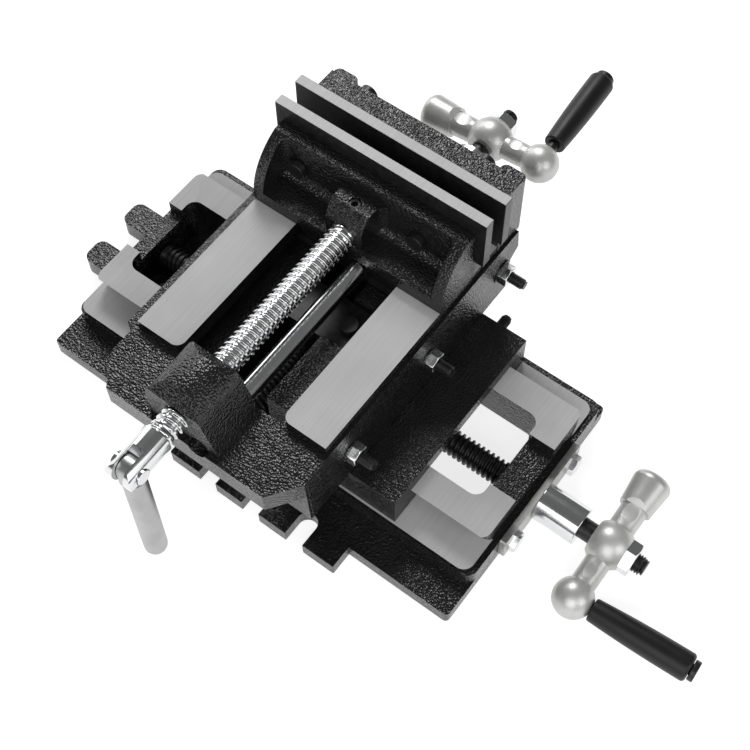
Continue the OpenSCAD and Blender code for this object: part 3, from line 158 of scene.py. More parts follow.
class ViseSizes(bpy.types.PropertyGroup):
    """Sizes of the broken edges and threads, which the solids leave to the finish."""

    cast_edge: size("Casting edge", "Rounding of the cast edges", 1.5)
    saddle_edge: size("Saddle edge", "Rounding of the saddle's cast edges", 1.05)
    ground_edge: size("Ground edge", "Broken edge of the ground plates and strips", 0.4)
    bar_edge: size("Turned edge", "Broken edge of turned and pressed pieces", 0.5)
    crank_edge: size("Crank edge", "Rounding of the cranks' edges", 0.8)
    screw_edge: size("Screw edge", "Broken edge of screw heads and small pieces", 0.4)
    nut_edge: size("Lock nut edge", "Broken corners of the gib screws' lock nuts", 0.35)
    grip_edge: size("Grip edge", "Rounding of the grips' ends", 0.9)
    pin_edge: size("Pin edge", "Broken edge of the handle's pin", 0.2)

    gib_gap: size("Gib gap", "Gap between the lower gib strip and the ground flat below it", 0.3)
    plate_lift: size("Plate lift", "Height of the moving jaw's plate over the ground ways", 12.4)

    fork_len: size("Fork length", "Length of the jaw screw's fork", 27.4)
    fork_cut: size("Fork cut", "How far outside the fork's root it is parted from the bar", 0.2)
    fork_lap: size("Fork lap", "How far outside the fork's root the threaded bar begins", 0.5)
    jaw_tip: size("Jaw screw tip", "Radius of the threaded bar inside the fork", 5.4)
    jaw_swell: size("Jaw screw swell", "Distance from the fork's root to the full radius", 1.2)
    jaw_bar: size("Jaw screw radius", "Outer radius of the jaw screw", 7.0)
    jaw_lead: size("Jaw thread start", "Distance from the fork's root to the thread", 1.5)
    jaw_pitch: size("Jaw screw pitch", "Distance between turns of the jaw screw", 3.6)
    jaw_depth: size("Jaw thread depth", "Depth of the jaw screw's thread", 1.3)
    jaw_rest: size("Jaw thread end", "Plain length between the thread and the neck", 0.7)
    neck_in: size("Neck depth", "How far inside the moving jaw the neck begins", 2.7)
    neck_bar: size("Neck radius", "Radius of the neck that turns in the moving jaw", 6.0)

    lower_bar: size("Lower screw radius", "Outer radius of the lower feed screw", 7.0)
    lower_tail: size("Lower screw tail", "Plain length at the far end of the lower feed screw", 11.5)
    lower_wall: size("Lower end wall", "Distance from the lower thread to its end plate", 18.5)
    upper_bar: size("Upper screw radius", "Outer radius of the upper feed screw", 6.0)
    upper_lead: size("Upper screw lead", "Chamfer at the front end of the upper feed screw", 1.0)
    upper_wall: size("Upper end wall", "Distance from the upper thread to its end plate", 16.5)
    feed_pitch: size("Feed screw pitch", "Distance between turns of the feed screws", 3.0)
    feed_depth: size("Feed thread depth", "Depth of the feed screws' threads", 1.4)
    journal: size("Journal radius", "Radius of the feed screws in their bearings", 5.5)
    seat_bar: size("Seat radius", "Radius of the feed screws in the cranks and at plain ends", 5.0)
    seat_len: size("Seat length", "Length of the crank's seat up to its nut", 18.0)
    crank_pitch: size("Crank thread pitch", "Distance between turns of the crank nuts' threads", 1.5)
    crank_depth: size("Crank thread depth", "Depth of the crank nuts' threads", 0.7)
    crank_past: size("Crank thread past end", "How far past the screw's end that thread fades", 1.2)
    end_chamfer: size("End chamfer", "Chamfer at the ends of the screws", 0.8)

    gib_bar: size("Gib screw radius", "Outer radius of the gib screws", 3.0)
    gib_tip: size("Gib screw tip", "Radius at the ends of the gib screws", 2.3)
    gib_pitch: size("Gib screw pitch", "Distance between turns of the gib screws", 1.0)
    gib_depth: size("Gib thread depth", "Depth of the gib screws' threads", 0.5)
    gib_past: size("Gib thread past end", "How far past the screw's end that thread fades", 0.6)


class ViseColours(bpy.types.PropertyGroup):
    """Colours of the finishes."""

    enamel: colour("Enamel", "Black hammered enamel of the castings", "#161616")
    ground: colour("Ground iron", "Ground faces of the slides", "#BEBEBF")
    plate: colour("Jaw plates", "Ground top edges of the jaw plates", "#C3C3C4")
    chrome: colour("Bright plating", "Plated jaw screw, rod, sleeves and nuts", "#DADBDC")
    satin: colour("Satin plating", "Satin plated cranks", "#D0D0CE")
    bar: colour("Handle", "Dull plated handle bar", "#B2B2B2")
    zinc: colour("Zinc plating", "Zinc plated end plates", "#B4B4B2")
    oxide: colour("Black oxide", "Blackened screws and jaw plate faces", "#222222")
    grip: colour("Grip", "Black moulded grips", "#151515")
    floor: colour("Floor", "Pale studio card under the vise", "#C0C0C0")


def add(tree, kind, links=None, **settings):
    """Adds a node, sets its attributes and its sockets (by name or index), and returns it."""
    node = tree.nodes.new(kind)
    for key, value in settings.items():
        setattr(node, key, value)
    for key, value in (links or {}).items():
        if isinstance(value, bpy.types.NodeSocket):
            tree.links.new(value, node.inputs[key])
        else:
            node.inputs[key].default_value = value
    return node


def material(name, value, metallic, roughness):
    """New material with its tree, its shader and its Object coordinates."""
    mat = bpy.data.materials.new(name)
    mat.use_nodes = True
    tree = mat.node_tree
    shader = tree.nodes["Principled BSDF"]
    shader.inputs["Base Color"].default_value = (*value, 1)
    shader.inputs["Metallic"].default_value = metallic
    shader.inputs["Roughness"].default_value = roughness
    return mat, tree, shader, add(tree, "ShaderNodeTexCoord").outputs["Object"]


def tint(value, factor):
    """Colour made lighter or darker by a factor."""
    return tuple(min(1.0, c * factor) for c in value)


def mottle(tree, pattern, value, dark, light):
    """Colour that drifts between a darker and a lighter tint of itself with a noise pattern."""
    drift = add(tree, "ShaderNodeMapRange", {"Value": pattern, "From Min": 0.3, "From Max": 0.7})
    # Sockets 6 and 7 of a Mix node are its two colours, and its output 2 is the mixed colour.
    shade = add(tree, "ShaderNodeMix", {
        0: drift.outputs[0],
        6: (*tint(value, dark), 1),
        7: (*tint(value, light), 1),
    }, data_type="RGBA")
    return shade.outputs[2]


def hammered_enamel(colours):
    """Black enamel on rough cast iron: pinhead bumps that sparkle under the lamps, near black elsewhere."""
    mat, tree, shader, coords = material(
        "hammered_black_enamel", colours.enamel, metallic=0.0, roughness=0.24)
    shader.inputs["Specular IOR Level"].default_value = 0.55
    grit = add(tree, "ShaderNodeTexNoise", {"Vector": coords, "Scale": per_metre(1.05), "Detail": 0.5})
    swell = add(tree, "ShaderNodeTexNoise", {"Vector": coords, "Scale": per_metre(14.0), "Detail": 1.0})
    bump = add(tree, "ShaderNodeBump", {
        "Strength": 1.0, "Distance": 0.6 * MM, "Height": grit.outputs["Fac"],
    })
    gloss = add(tree, "ShaderNodeMapRange", {
        "Value": swell.outputs["Fac"], "To Min": 0.14, "To Max": 0.26,
    })
    shade = mottle(tree, swell.outputs["Fac"], colours.enamel, dark=0.8, light=1.3)
    tree.links.new(shade, shader.inputs["Base Color"])
    tree.links.new(gloss.outputs[0], shader.inputs["Roughness"])
    tree.links.new(bump.outputs["Normal"], shader.inputs["Normal"])
    return mat


def ground_iron(name, value, turn, line_mm):
    """Face-milled and ground iron: pale grey with fine parallel lines and faint clouds.

    Real grinding lines are too fine to show in the render, so these are drawn several times coarser.
    """
    mat, tree, shader, coords = material(name, value, metallic=0.0, roughness=0.7)
    shader.inputs["Specular IOR Level"].default_value = 0.15
    lay = add(tree, "ShaderNodeMapping", {
        "Vector": coords,
        "Rotation": (0, 0, math.radians(turn)),
        "Scale": (per_metre(line_mm), per_metre(45.0), per_metre(line_mm)),
    })
    lines = add(tree, "ShaderNodeTexNoise", {"Vector": lay.outputs[0], "Scale": 1.0, "Detail": 4.0})
    cloud = add(tree, "ShaderNodeTexNoise", {"Vector": coords, "Scale": per_metre(30.0), "Detail": 2.0})
    both = add(tree, "ShaderNodeMath", {
        0: lines.outputs["Fac"], 1: cloud.outputs["Fac"],
    }, operation="ADD")
    mean = add(tree, "ShaderNodeMath", {0: both.outputs[0], 1: 0.5}, operation="MULTIPLY")
    bump = add(tree, "ShaderNodeBump", {
        "Strength": 0.1, "Distance": 0.1 * MM, "Height": lines.outputs["Fac"],
    })
    shade = mottle(tree, mean.outputs[0], value, dark=0.88, light=1.08)
    tree.links.new(shade, shader.inputs["Base Color"])
    tree.links.new(bump.outputs["Normal"], shader.inputs["Normal"])
    return mat


def bright_plating(colours):
    """Polished plated steel: clear dark and light reflections, a little hazy in patches."""
    mat, tree, shader, coords = material("bright_plated_steel", colours.chrome, metallic=1.0, roughness=0.14)
    haze = add(tree, "ShaderNodeTexNoise", {"Vector": coords, "Scale": per_metre(6.0), "Detail": 4.0})
    gloss = add(tree, "ShaderNodeMapRange", {"Value": haze.outputs["Fac"], "To Min": 0.1, "To Max": 0.2})
    tree.links.new(gloss.outputs[0], shader.inputs["Roughness"])
    return mat


def satin_metal(name, value, metallic, gloss_range, skin_mm):
    """Plated casting or bar: soft broad highlights over a faintly uneven tumbled skin."""
    mat, tree, shader, coords = material(name, value, metallic, gloss_range[0])
    skin = add(tree, "ShaderNodeTexNoise", {
        "Vector": coords, "Scale": per_metre(skin_mm), "Detail": 3.0,
    })
    patch = add(tree, "ShaderNodeTexNoise", {"Vector": coords, "Scale": per_metre(12.0), "Detail": 2.0})
    gloss = add(tree, "ShaderNodeMapRange", {
        "Value": patch.outputs["Fac"], "To Min": gloss_range[0], "To Max": gloss_range[1],
    })
    bump = add(tree, "ShaderNodeBump", {
        "Strength": 0.25, "Distance": 0.15 * MM, "Height": skin.outputs["Fac"],
    })
    shade = mottle(tree, patch.outputs["Fac"], value, dark=0.86, light=1.06)
    tree.links.new(shade, shader.inputs["Base Color"])
    tree.links.new(gloss.outputs[0], shader.inputs["Roughness"])
    tree.links.new(bump.outputs["Normal"], shader.inputs["Normal"])
    return mat


def zinc_plating(colours):
    """Zinc plated steel: slightly warm grey with cloudy spangles."""
    mat, tree, shader, coords = material("zinc_plated_steel", colours.zinc, metallic=1.0, roughness=0.36)
    cloud = add(tree, "ShaderNodeTexNoise", {"Vector": coords, "Scale": per_metre(4.0), "Detail": 4.0})
    gloss = add(tree, "ShaderNodeMapRange", {"Value": cloud.outputs["Fac"], "To Min": 0.36, "To Max": 0.5})
    shade = mottle(tree, cloud.outputs["Fac"], colours.zinc, dark=0.82, light=1.08)
    tree.links.new(shade, shader.inputs["Base Color"])
    tree.links.new(gloss.outputs[0], shader.inputs["Roughness"])
    return mat


def black_oxide(colours):
    """Oiled black oxide on steel: dark satin metal, a little patchy."""
    mat, tree, shader, coords = material("black_oxide_steel", colours.oxide, metallic=0.3, roughness=0.36)
    oil = add(tree, "ShaderNodeTexNoise", {"Vector": coords, "Scale": per_metre(3.0), "Detail": 3.0})
    gloss = add(tree, "ShaderNodeMapRange", {"Value": oil.outputs["Fac"], "To Min": 0.26, "To Max": 0.48})
    shade = mottle(tree, oil.outputs["Fac"], colours.oxide, dark=0.6, light=1.6)
    tree.links.new(shade, shader.inputs["Base Color"])
    tree.links.new(gloss.outputs[0], shader.inputs["Roughness"])
    return mat


def moulded_grip(colours):
    """Black moulded plastic: eggshell grain with a soft sheen, drawn coarser than real so that it shows."""
    mat, tree, shader, coords = material("black_moulded_plastic", colours.grip, metallic=0.0, roughness=0.38)
    shader.inputs["Specular IOR Level"].default_value = 0.35
    grain = add(tree, "ShaderNodeTexNoise", {"Vector": coords, "Scale": per_metre(0.7), "Detail": 2.0})
    rub = add(tree, "ShaderNodeTexNoise", {"Vector": coords, "Scale": per_metre(14.0), "Detail": 2.0})
    gloss = add(tree, "ShaderNodeMapRange", {"Value": rub.outputs["Fac"], "To Min": 0.34, "To Max": 0.52})
    bump = add(tree, "ShaderNodeBump", {
        "Strength": 0.15, "Distance": 0.1 * MM, "Height": grain.outputs["Fac"],
    })
    tree.links.new(gloss.outputs[0], shader.inputs["Roughness"])
    tree.links.new(bump.outputs["Normal"], shader.inputs["Normal"])
    return mat


def ground_ways(colours):
    """Ground top of the vise body, with lines that slant across the ways."""
    return ground_iron("ground_iron_ways", colours.ground, turn=28.0, line_mm=0.9)


def ground_flats(colours):
    """Ground top of the base, with lines at another slant."""
    return ground_iron("ground_iron_base", colours.ground, turn=62.0, line_mm=1.0)


def ground_plate(colours):
    """Ground top edge of a jaw plate, with lines along it."""
    return ground_iron("ground_steel_plate", colours.plate, turn=90.0, line_mm=0.8)


def satin_plating(colours):
    """Satin plating of the cranks."""
    value = colours.satin
    return satin_metal("satin_plated_casting", value, metallic=0.55, gloss_range=(0.34, 0.46), skin_mm=1.6)


def dull_plating(colours):
    """Dull plating of the handle bar."""
    value = colours.bar
    return satin_metal("dull_plated_bar", value, metallic=1.0, gloss_range=(0.34, 0.44), skin_mm=0.8)


MAKERS = {
    "enamel": hammered_enamel,
    "ways": ground_ways,
    "flats": ground_flats,
    "ground": ground_plate,
    "chrome": bright_plating,
    "satin": satin_plating,
    "bar": dull_plating,
    "zinc": zinc_plating,
    "oxide": black_oxide,
    "plastic": moulded_grip,
}
FINISHES = {}


def finish_of(key):
    """Finish by name, made once."""
    if key not in FINISHES:
        FINISHES[key] = MAKERS[key](bpy.context.scene.vise_colours)
    return FINISHES[key]


def settle(obj, node, finish):
    """Gives a piece its finish and hangs it on the body of its solid."""
    obj.data.materials.append(finish_of(finish))
    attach(obj, BODY_OF[node])
    return obj


def link(name, mesh):
    """Object of a mesh at the origin, linked to the scene."""
    obj = bpy.data.objects.new(name, mesh)
    bpy.context.scene.collection.objects.link(obj)
    return obj


def merged(node, keep=None):
    """Copy of a solid's mesh with its loose triangles merged into flat faces, or only its end before a cut.

    keep is (point, normal): what lies on the normal's side of that plane is cut off and the cut is closed.
    """
    bm = bmesh.new()
    bm.from_mesh(frame["nodes"][node].data)
    bmesh.ops.remove_doubles(bm, verts=bm.verts, dist=WELD)
    if keep:
        point, normal = keep
        every = bm.verts[:] + bm.edges[:] + bm.faces[:]
        cut = bmesh.ops.bisect_plane(bm, geom=every, plane_co=point, plane_no=normal, clear_outer=True)
        rim = [e for e in cut["geom_cut"] if isinstance(e, bmesh.types.BMEdge)]
        bmesh.ops.holes_fill(bm, edges=rim)
    bmesh.ops.dissolve_limit(bm, angle_limit=FLAT, verts=bm.verts, edges=bm.edges)
    mesh = bpy.data.meshes.new(node)
    bm.to_mesh(mesh)
    bm.free()
    return mesh


def round_edges(obj, width, angle=SHARP):
    """Rounds every edge sharper than the angle and shades the rest smooth."""
    obj.data.polygons.foreach_set("use_smooth", np.ones(len(obj.data.polygons), bool))
    obj.data.set_sharp_from_angle(angle=angle)
    bevel = obj.modifiers.new("edges", "BEVEL")
    bevel.width = width
    bevel.segments = BEVEL_STEPS
    bevel.limit_method = "ANGLE"
    bevel.angle_limit = angle
    bevel.harden_normals = True
    bevel.use_clamp_overlap = True
    return obj


def dress(node, finish, width, angle=SHARP):
    """Copy of a solid with broken edges and its finish, in the solid's place."""
    obj = round_edges(link(node + "_piece", merged(node)), width, angle)
    settle(obj, node, finish)
    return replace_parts(obj, node)


def paint_planes(obj, finish, planes):
    """Gives the faces that look up at these heights a second finish."""
    obj.data.materials.append(finish_of(finish))
    count = len(obj.data.polygons)
    normal = np.empty(count * 3)
    centre = np.empty(count * 3)
    obj.data.polygons.foreach_get("normal", normal)
    obj.data.polygons.foreach_get("center", centre)
    height = centre.reshape(-1, 3)[:, 2]
    level = np.isclose(height[:, None], planes, atol=PLANE_NEAR).any(1)
    up = normal.reshape(-1, 3)[:, 2] > UPRIGHT
    obj.data.polygons.foreach_set("material_index", (level & up).astype(np.int32))


def turned(name, origin, axis, stations, threads, around, per_turn):
    """Turned bar: radius r(t, a) over a grid of place t along the axis and angle a, closed at both ends.

    The radius runs straight between the (t, r) stations, less the thread: inside (t0, t1, depth, pitch)
    the phase u = t / pitch - a / 2 pi gives a groove with eased flanks. It fades over one pitch at each end.
    The grid has so many points around the bar, and so many rows in each turn of a thread.
    """
    t = np.array([place for place, radius in stations])
    r = np.array([radius for place, radius in stations])
    fine = [
        np.linspace(t0, t1, int((t1 - t0) / pitch * per_turn) + 1)
        for t0, t1, depth, pitch in threads
    ]
    inner = np.unique(np.concatenate(fine))
    inner = inner[~np.isclose(inner[:, None], t, atol=SAME_ROW).any(1)]
    rows_t = np.concatenate([t, inner])
    rows_r = np.concatenate([r, np.interp(inner, t, r)])
    order = np.argsort(rows_t, kind="stable")
    rows_t = rows_t[order]
    rows_r = rows_r[order]
    angle = np.arange(around) * (2 * np.pi / around)
    radius = np.repeat(rows_r[:, None], around, 1)
    for t0, t1, depth, pitch in threads:
        u = np.mod(rows_t[:, None] / pitch - angle[None, :] / (2 * np.pi), 1.0)
        rise = np.clip((HALF_GROOVE - np.abs(u - 0.5)) / FLANK, 0.0, 1.0)
        groove = rise * rise * (3.0 - 2.0 * rise)
        fade = np.clip(np.minimum(rows_t - t0, t1 - rows_t) / pitch, 0.0, 1.0)
        radius = radius - depth * groove * fade[:, None]
    along = Vector(axis).normalized()
    side = along.orthogonal().normalized()
    other = along.cross(side)
    ring = np.cos(angle)[:, None] * np.array(side) + np.sin(angle)[:, None] * np.array(other)
    points = np.array(origin) + rows_t[:, None, None] * np.array(along) + radius[:, :, None] * ring[None]
    ends = np.array(origin) + np.array([[rows_t[0]], [rows_t[-1]]]) * np.array(along)
    count = len(rows_t)
    grid = np.arange(count * around).reshape(count, around)
    turn = np.roll(grid, -1, 1)
    quads = np.stack([grid[:-1], turn[:-1], turn[1:], grid[1:]], -1).reshape(-1, 4)
    first = count * around
    last = first + 1
    low = np.stack([np.full(around, first), turn[0], grid[0]], -1)
    high = np.stack([np.full(around, last), grid[-1], turn[-1]], -1)
    vertices = np.concatenate([points.reshape(-1, 3), ends])
    mesh = bpy.data.meshes.new(name)
    mesh.from_pydata(vertices, [], quads.tolist() + low.tolist() + high.tolist())
    mesh.polygons.foreach_set("use_smooth", np.ones(len(mesh.polygons), bool))
    mesh.set_sharp_from_angle(angle=CREASE)
    return link(name, mesh)


def middle(node):
    """Middle of a solid's box."""
    low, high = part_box(node)
    return (low + high) / 2


class VISE_OT_castings(bpy.types.Operator):
    """Rounds the four castings and parts their enamel from their ground faces"""

    bl_idname = "vise.castings"
    bl_label = "Castings"

    def execute(self, context):
        sizes = context.scene.vise_sizes
        base = dress("base_casting", "enamel", sizes.cast_edge)
        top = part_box("base_casting")[1].z
        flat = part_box("x_gib")[0].z - sizes.gib_gap
        paint_planes(base, "flats", [top, flat])
        dress("saddle_casting", "enamel", sizes.saddle_edge)
        body = dress("vise_casting", "enamel", sizes.cast_edge)
        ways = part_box("moving_jaw_plate")[0].z - sizes.plate_lift
        paint_planes(body, "ways", [ways])
        dress("moving_jaw", "enamel", sizes.cast_edge)
        return {"FINISHED"}


class VISE_OT_jaw_plates(bpy.types.Operator):
    """Blackens the two jaw plates up to their ground top edges, and dresses the strips inside"""

    bl_idname = "vise.jaw_plates"
    bl_label = "Jaw plates"

    def execute(self, context):
        edge = context.scene.vise_sizes.ground_edge
        for node in ("fixed_jaw_plate", "moving_jaw_plate"):
            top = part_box(node)[1].z
            paint_planes(dress(node, "oxide", edge), "ground", [top])
        for node in ("keeper_strip", "x_gib", "y_gib"):
            dress(node, "oxide", edge)
        return {"FINISHED"}


class VISE_OT_jaw_screw(bpy.types.Operator):
    """Cuts the thread of the jaw screw and keeps its fork"""

    bl_idname = "vise.jaw_screw"
    bl_label = "Jaw screw"

    def execute(self, context):
        sizes = context.scene.vise_sizes
        low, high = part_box("jaw_screw")
        centre = middle("jaw_screw")
        root = low.y + sizes.fork_len
        cut = ((0, root - sizes.fork_cut, 0), (0, 1, 0))
        fork = link("jaw_screw_fork", merged("jaw_screw", cut))
        round_edges(fork, sizes.bar_edge)
        settle(fork, "jaw_screw", "chrome")
        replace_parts(fork, "jaw_screw")
        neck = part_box("moving_jaw")[0].y + sizes.neck_in
        stations = [
            (root - sizes.fork_lap, sizes.jaw_tip),
            (root + sizes.jaw_swell, sizes.jaw_bar),
            (neck, sizes.jaw_bar),
            (neck, sizes.neck_bar),
            (high.y, sizes.neck_bar),
        ]
        thread = (root + sizes.jaw_lead, neck - sizes.jaw_rest, sizes.jaw_depth, sizes.jaw_pitch)
        bar = turned("jaw_screw_thread", (centre.x, 0, centre.z), (0, 1, 0), stations, [thread],
                     around=72, per_turn=20)
        settle(bar, "jaw_screw", "chrome")
        return {"FINISHED"}


class VISE_OT_feed_screws(bpy.types.Operator):
    """Cuts the threads of the two feed screws"""

    bl_idname = "vise.feed_screws"
    bl_label = "Feed screws"

    def cut(self, sizes, side, along, begin, start, bar, wall):
        """One feed screw: thread from start to the end wall, journal, and the crank's seat and thread."""
        node = side + "_feed_screw"
        axis = along.index(1)
        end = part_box(node)[1][axis]
        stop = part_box(side + "_end_plate")[0][axis] - wall
        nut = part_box(side + "_crank_nut")[0][axis]
        seat = nut - sizes.seat_len
        stations = begin + [
            (stop, bar),
            (stop, sizes.journal),
            (seat, sizes.journal),
            (seat, sizes.seat_bar),
            (end - sizes.end_chamfer, sizes.seat_bar),
            (end, sizes.seat_bar - sizes.end_chamfer),
        ]
        threads = [
            (start, stop, sizes.feed_depth, sizes.feed_pitch),
            (nut, end + sizes.crank_past, sizes.crank_depth, sizes.crank_pitch),
        ]
        origin = middle(node)
        origin[axis] = 0
        screw = turned(node + "_thread", origin, along, stations, threads, around=48, per_turn=9)
        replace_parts(settle(screw, node, "oxide"), node)

    def execute(self, context):
        sizes = context.scene.vise_sizes
        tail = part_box("x_feed_screw")[0].x
        left = tail + sizes.lower_tail
        begin = [(tail, sizes.seat_bar), (left, sizes.seat_bar), (left, sizes.lower_bar)]
        self.cut(sizes, "x", (1, 0, 0), begin, left, sizes.lower_bar, sizes.lower_wall)
        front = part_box("y_feed_screw")[0].y
        begin = [(front, sizes.seat_bar), (front + sizes.upper_lead, sizes.upper_bar)]
        self.cut(sizes, "y", (0, 1, 0), begin, front, sizes.upper_bar, sizes.upper_wall)
        return {"FINISHED"}


class VISE_OT_gib_screws(bpy.types.Operator):
    """Cuts the threads of the gib screws and breaks the corners of their lock nuts"""

    bl_idname = "vise.gib_screws"
    bl_label = "Gib screws"

    def execute(self, context):
        sizes = context.scene.vise_sizes
        for side, along in (("x", (0, 1, 0)), ("y", (1, 0, 0))):
            node = side + "_gib_screws"
            axis = along.index(1)
            across = 1 - axis
            low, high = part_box(node)
            stations = [
                (low[axis], sizes.gib_bar),
                (high[axis] - sizes.end_chamfer, sizes.gib_bar),
                (high[axis], sizes.gib_tip),
            ]
            thread = (low[axis], high[axis] + sizes.gib_past, sizes.gib_depth, sizes.gib_pitch)
            row = np.linspace(low[across] + sizes.gib_bar, high[across] - sizes.gib_bar, GIB_SCREWS)
            pieces = []
            for number, place in enumerate(row, 1):
                origin = middle(node)
                origin[axis] = 0
                origin[across] = place
                piece = turned("%s_%d" % (node, number), origin, along, stations, [thread],
                               around=28, per_turn=8)
                pieces.append(settle(piece, node, "oxide"))
            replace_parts(pieces[0], node)
            dress(side + "_gib_nuts", "chrome", sizes.nut_edge, HEX_SHARP)
        return {"FINISHED"}


class VISE_OT_bearings(bpy.types.Operator):
    """Dresses the end plates, sleeves, guide rod and their screws"""

    bl_idname = "vise.bearings"
    bl_label = "Bearings"

    def execute(self, context):
        sizes = context.scene.vise_sizes
        for side in "xy":
            dress(side + "_end_plate", "zinc", sizes.bar_edge)
            dress(side + "_sleeve", "chrome", sizes.bar_edge)
            dress(side + "_plate_screws", "chrome", sizes.screw_edge, HEX_SHARP)
        dress("guide_rod", "chrome", sizes.bar_edge)
        return {"FINISHED"}


class VISE_OT_cranks(bpy.types.Operator):
    """Dresses the two ball cranks with their nuts and studs"""

    bl_idname = "vise.cranks"
    bl_label = "Cranks"

    def execute(self, context):
        sizes = context.scene.vise_sizes
        for side in "xy":
            dress(side + "_crank_arm", "satin", sizes.crank_edge, CRANK_SHARP)
            dress(side + "_crank_nut", "chrome", sizes.bar_edge, HEX_SHARP)
            dress(side + "_grip_stud", "oxide", sizes.bar_edge)
        return {"FINISHED"}


class VISE_OT_grips(bpy.types.Operator):
    """Dresses the two turning grips"""

    bl_idname = "vise.grips"
    bl_label = "Grips"

    def execute(self, context):
        edge = context.scene.vise_sizes.grip_edge
        for side in "xy":
            dress(side + "_grip", "plastic", edge, GRIP_SHARP)
        return {"FINISHED"}


class VISE_OT_handle(bpy.types.Operator):
    """Dresses the folding handle and its pin"""

    bl_idname = "vise.handle"
    bl_label = "Handle"

    def execute(self, context):
        sizes = context.scene.vise_sizes
        dress("handle_bar", "bar", sizes.bar_edge)
        dress("handle_pin", "chrome", sizes.pin_edge)
        return {"FINISHED"}


class VISE_OT_fasteners(bpy.types.Operator):
    """Dresses the jaw plate screws and the pieces hidden inside"""

    bl_idname = "vise.fasteners"
    bl_label = "Fasteners"

    def execute(self, context):
        edge = context.scene.vise_sizes.screw_edge
        for node in ("fixed_jaw_screws", "moving_jaw_screws", "keeper_screws", "neck_set_screw",
                     "x_nut_screws", "y_nut_screws", "x_collar", "y_collar", "x_feed_nut", "y_feed_nut"):
            dress(node, "oxide", edge)
        return {"FINISHED"}


def studio_floor(colours):
    """Matt pale card: lit by the lamps, and lifted to white where the camera or a bright metal sees it."""
    mat, tree, shader, _ = material("white_card", colours.floor, metallic=0.0, roughness=0.9)
    path = add(tree, "ShaderNodeLightPath")
    mirror = add(tree, "ShaderNodeMath", {
        0: path.outputs["Is Glossy Ray"], 1: path.outputs["Is Transmission Ray"],
    }, operation="MAXIMUM")
    seen = add(tree, "ShaderNodeMath", {
        0: path.outputs["Is Camera Ray"], 1: mirror.outputs[0],
    }, operation="MAXIMUM")
    lift = add(tree, "ShaderNodeMath", {0: seen.outputs[0], 1: FLOOR_LIFT}, operation="MULTIPLY")
    glow = add(tree, "ShaderNodeEmission", {"Color": (1, 1, 1, 1), "Strength": lift.outputs[0]})
    both = add(tree, "ShaderNodeAddShader", {0: shader.outputs[0], 1: glow.outputs[0]})
    tree.links.new(both.outputs[0], tree.nodes["Material Output"].inputs["Surface"])
    return mat


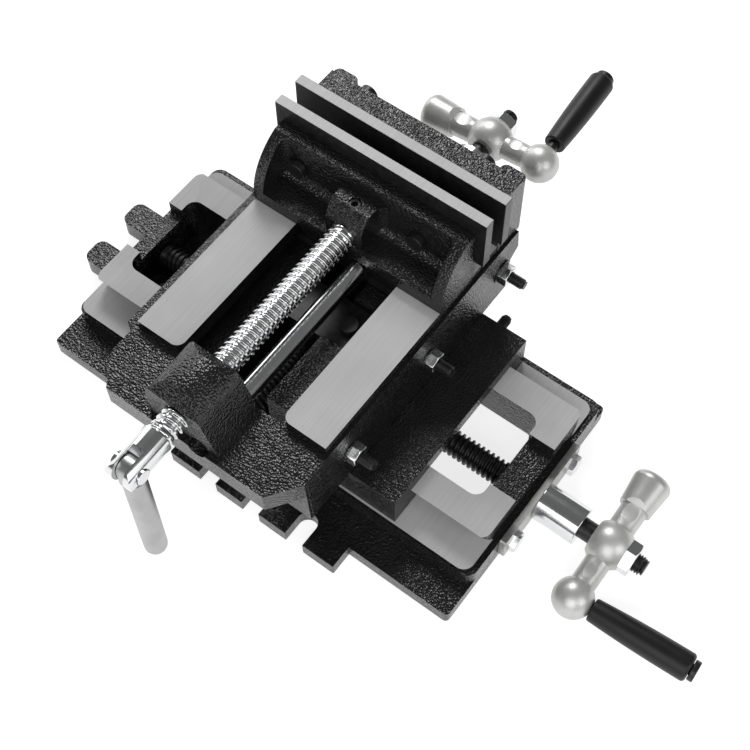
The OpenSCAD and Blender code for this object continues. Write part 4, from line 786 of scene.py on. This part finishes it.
class VISE_OT_stage(bpy.types.Operator):
    """Sets up the floor, the soft lamps and the camera"""

    bl_idname = "vise.stage"
    bl_label = "Stage"

    def floor(self, scene):
        """Wide card just under the vise."""
        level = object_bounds()[0].z - FLOOR_DROP
        corners = np.array([[-1, -1, 0], [1, -1, 0], [1, 1, 0], [-1, 1, 0]]) * FLOOR_REACH + [0, 0, level]
        mesh = bpy.data.meshes.new("studio_floor")
        mesh.from_pydata(corners, [], [(0, 1, 2, 3)])
        floor = link("studio_floor", mesh)
        mesh.materials.append(studio_floor(scene.vise_colours))
        floor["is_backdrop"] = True

    def lamp(self, scene, name, place, width, power):
        """Square soft lamp that looks at the vise."""
        data = bpy.data.lights.new(name, "AREA")
        data.shape = "SQUARE"
        data.size = width
        data.energy = power
        lamp = bpy.data.objects.new(name, data)
        lamp.location = place
        lamp.rotation_euler = (Vector(LAMP_AIM) - Vector(place)).to_track_quat("-Z", "Y").to_euler()
        scene.collection.objects.link(lamp)

    def camera(self, scene):
        """Camera with the photo's view."""
        data = bpy.data.cameras.new("photo_camera")
        data.sensor_width = SENSOR
        data.lens = LENS
        data.clip_start = CLIP_NEAR
        data.clip_end = CLIP_FAR
        camera = bpy.data.objects.new("photo_camera", data)
        azimuth = math.radians(AZIMUTH)
        elevation = math.radians(ELEVATION)
        back = Vector((
            math.sin(azimuth) * math.cos(elevation),
            -math.cos(azimuth) * math.cos(elevation),
            math.sin(elevation),
        ))
        level = back.to_track_quat("Z", "Y").to_matrix().to_4x4()
        roll = Matrix.Rotation(math.radians(ROLL), 4, "Z")
        camera.matrix_world = Matrix.Translation(EYE) @ level @ roll
        scene.collection.objects.link(camera)
        scene.camera = camera

    def execute(self, context):
        scene = context.scene
        self.floor(scene)
        world = bpy.data.worlds.new("studio")
        world.use_nodes = True
        background = world.node_tree.nodes["Background"]
        background.inputs["Color"].default_value = (1, 1, 1, 1)
        background.inputs["Strength"].default_value = WORLD_LIGHT
        scene.world = world
        for name, place, width, power in LAMPS:
            self.lamp(scene, name, place, width, power)
        self.camera(scene)
        scene.view_settings.view_transform = "Standard"
        return {"FINISHED"}


class VISE_PT_panel(bpy.types.Panel):
    """Sidebar list of the vise's operators and settings"""

    bl_idname = "VISE_PT_panel"
    bl_label = "Cross slide vise"
    bl_space_type = "VIEW_3D"
    bl_region_type = "UI"
    bl_category = "Vise"

    def draw(self, context):
        for operator in OPERATORS:
            self.layout.operator(operator.bl_idname)
        for group in (context.scene.vise_sizes, context.scene.vise_colours):
            for key in group.__annotations__:
                self.layout.prop(group, key)


OPERATORS = (
    VISE_OT_castings,
    VISE_OT_jaw_plates,
    VISE_OT_jaw_screw,
    VISE_OT_feed_screws,
    VISE_OT_gib_screws,
    VISE_OT_bearings,
    VISE_OT_cranks,
    VISE_OT_grips,
    VISE_OT_handle,
    VISE_OT_fasteners,
    VISE_OT_stage,
)
CLASSES = (ViseSizes, ViseColours, *OPERATORS, VISE_PT_panel)


def register():
    """Registers the classes and hangs the settings on the scene."""
    for cls in CLASSES:
        bpy.utils.register_class(cls)
    bpy.types.Scene.vise_sizes = PointerProperty(type=ViseSizes)
    bpy.types.Scene.vise_colours = PointerProperty(type=ViseColours)


def unregister():
    """Takes the settings and classes away again."""
    del bpy.types.Scene.vise_colours
    del bpy.types.Scene.vise_sizes
    for cls in reversed(CLASSES):
        bpy.utils.unregister_class(cls)


def main():
    """Dresses the frame piece by piece."""
    register()
    bpy.ops.vise.castings()
    bpy.ops.vise.jaw_plates()
    bpy.ops.vise.jaw_screw()
    bpy.ops.vise.feed_screws()
    bpy.ops.vise.gib_screws()
    bpy.ops.vise.bearings()
    bpy.ops.vise.cranks()
    bpy.ops.vise.grips()
    bpy.ops.vise.handle()
    bpy.ops.vise.fasteners()
    bpy.ops.vise.stage()


if __name__ == "__main__":
    main()
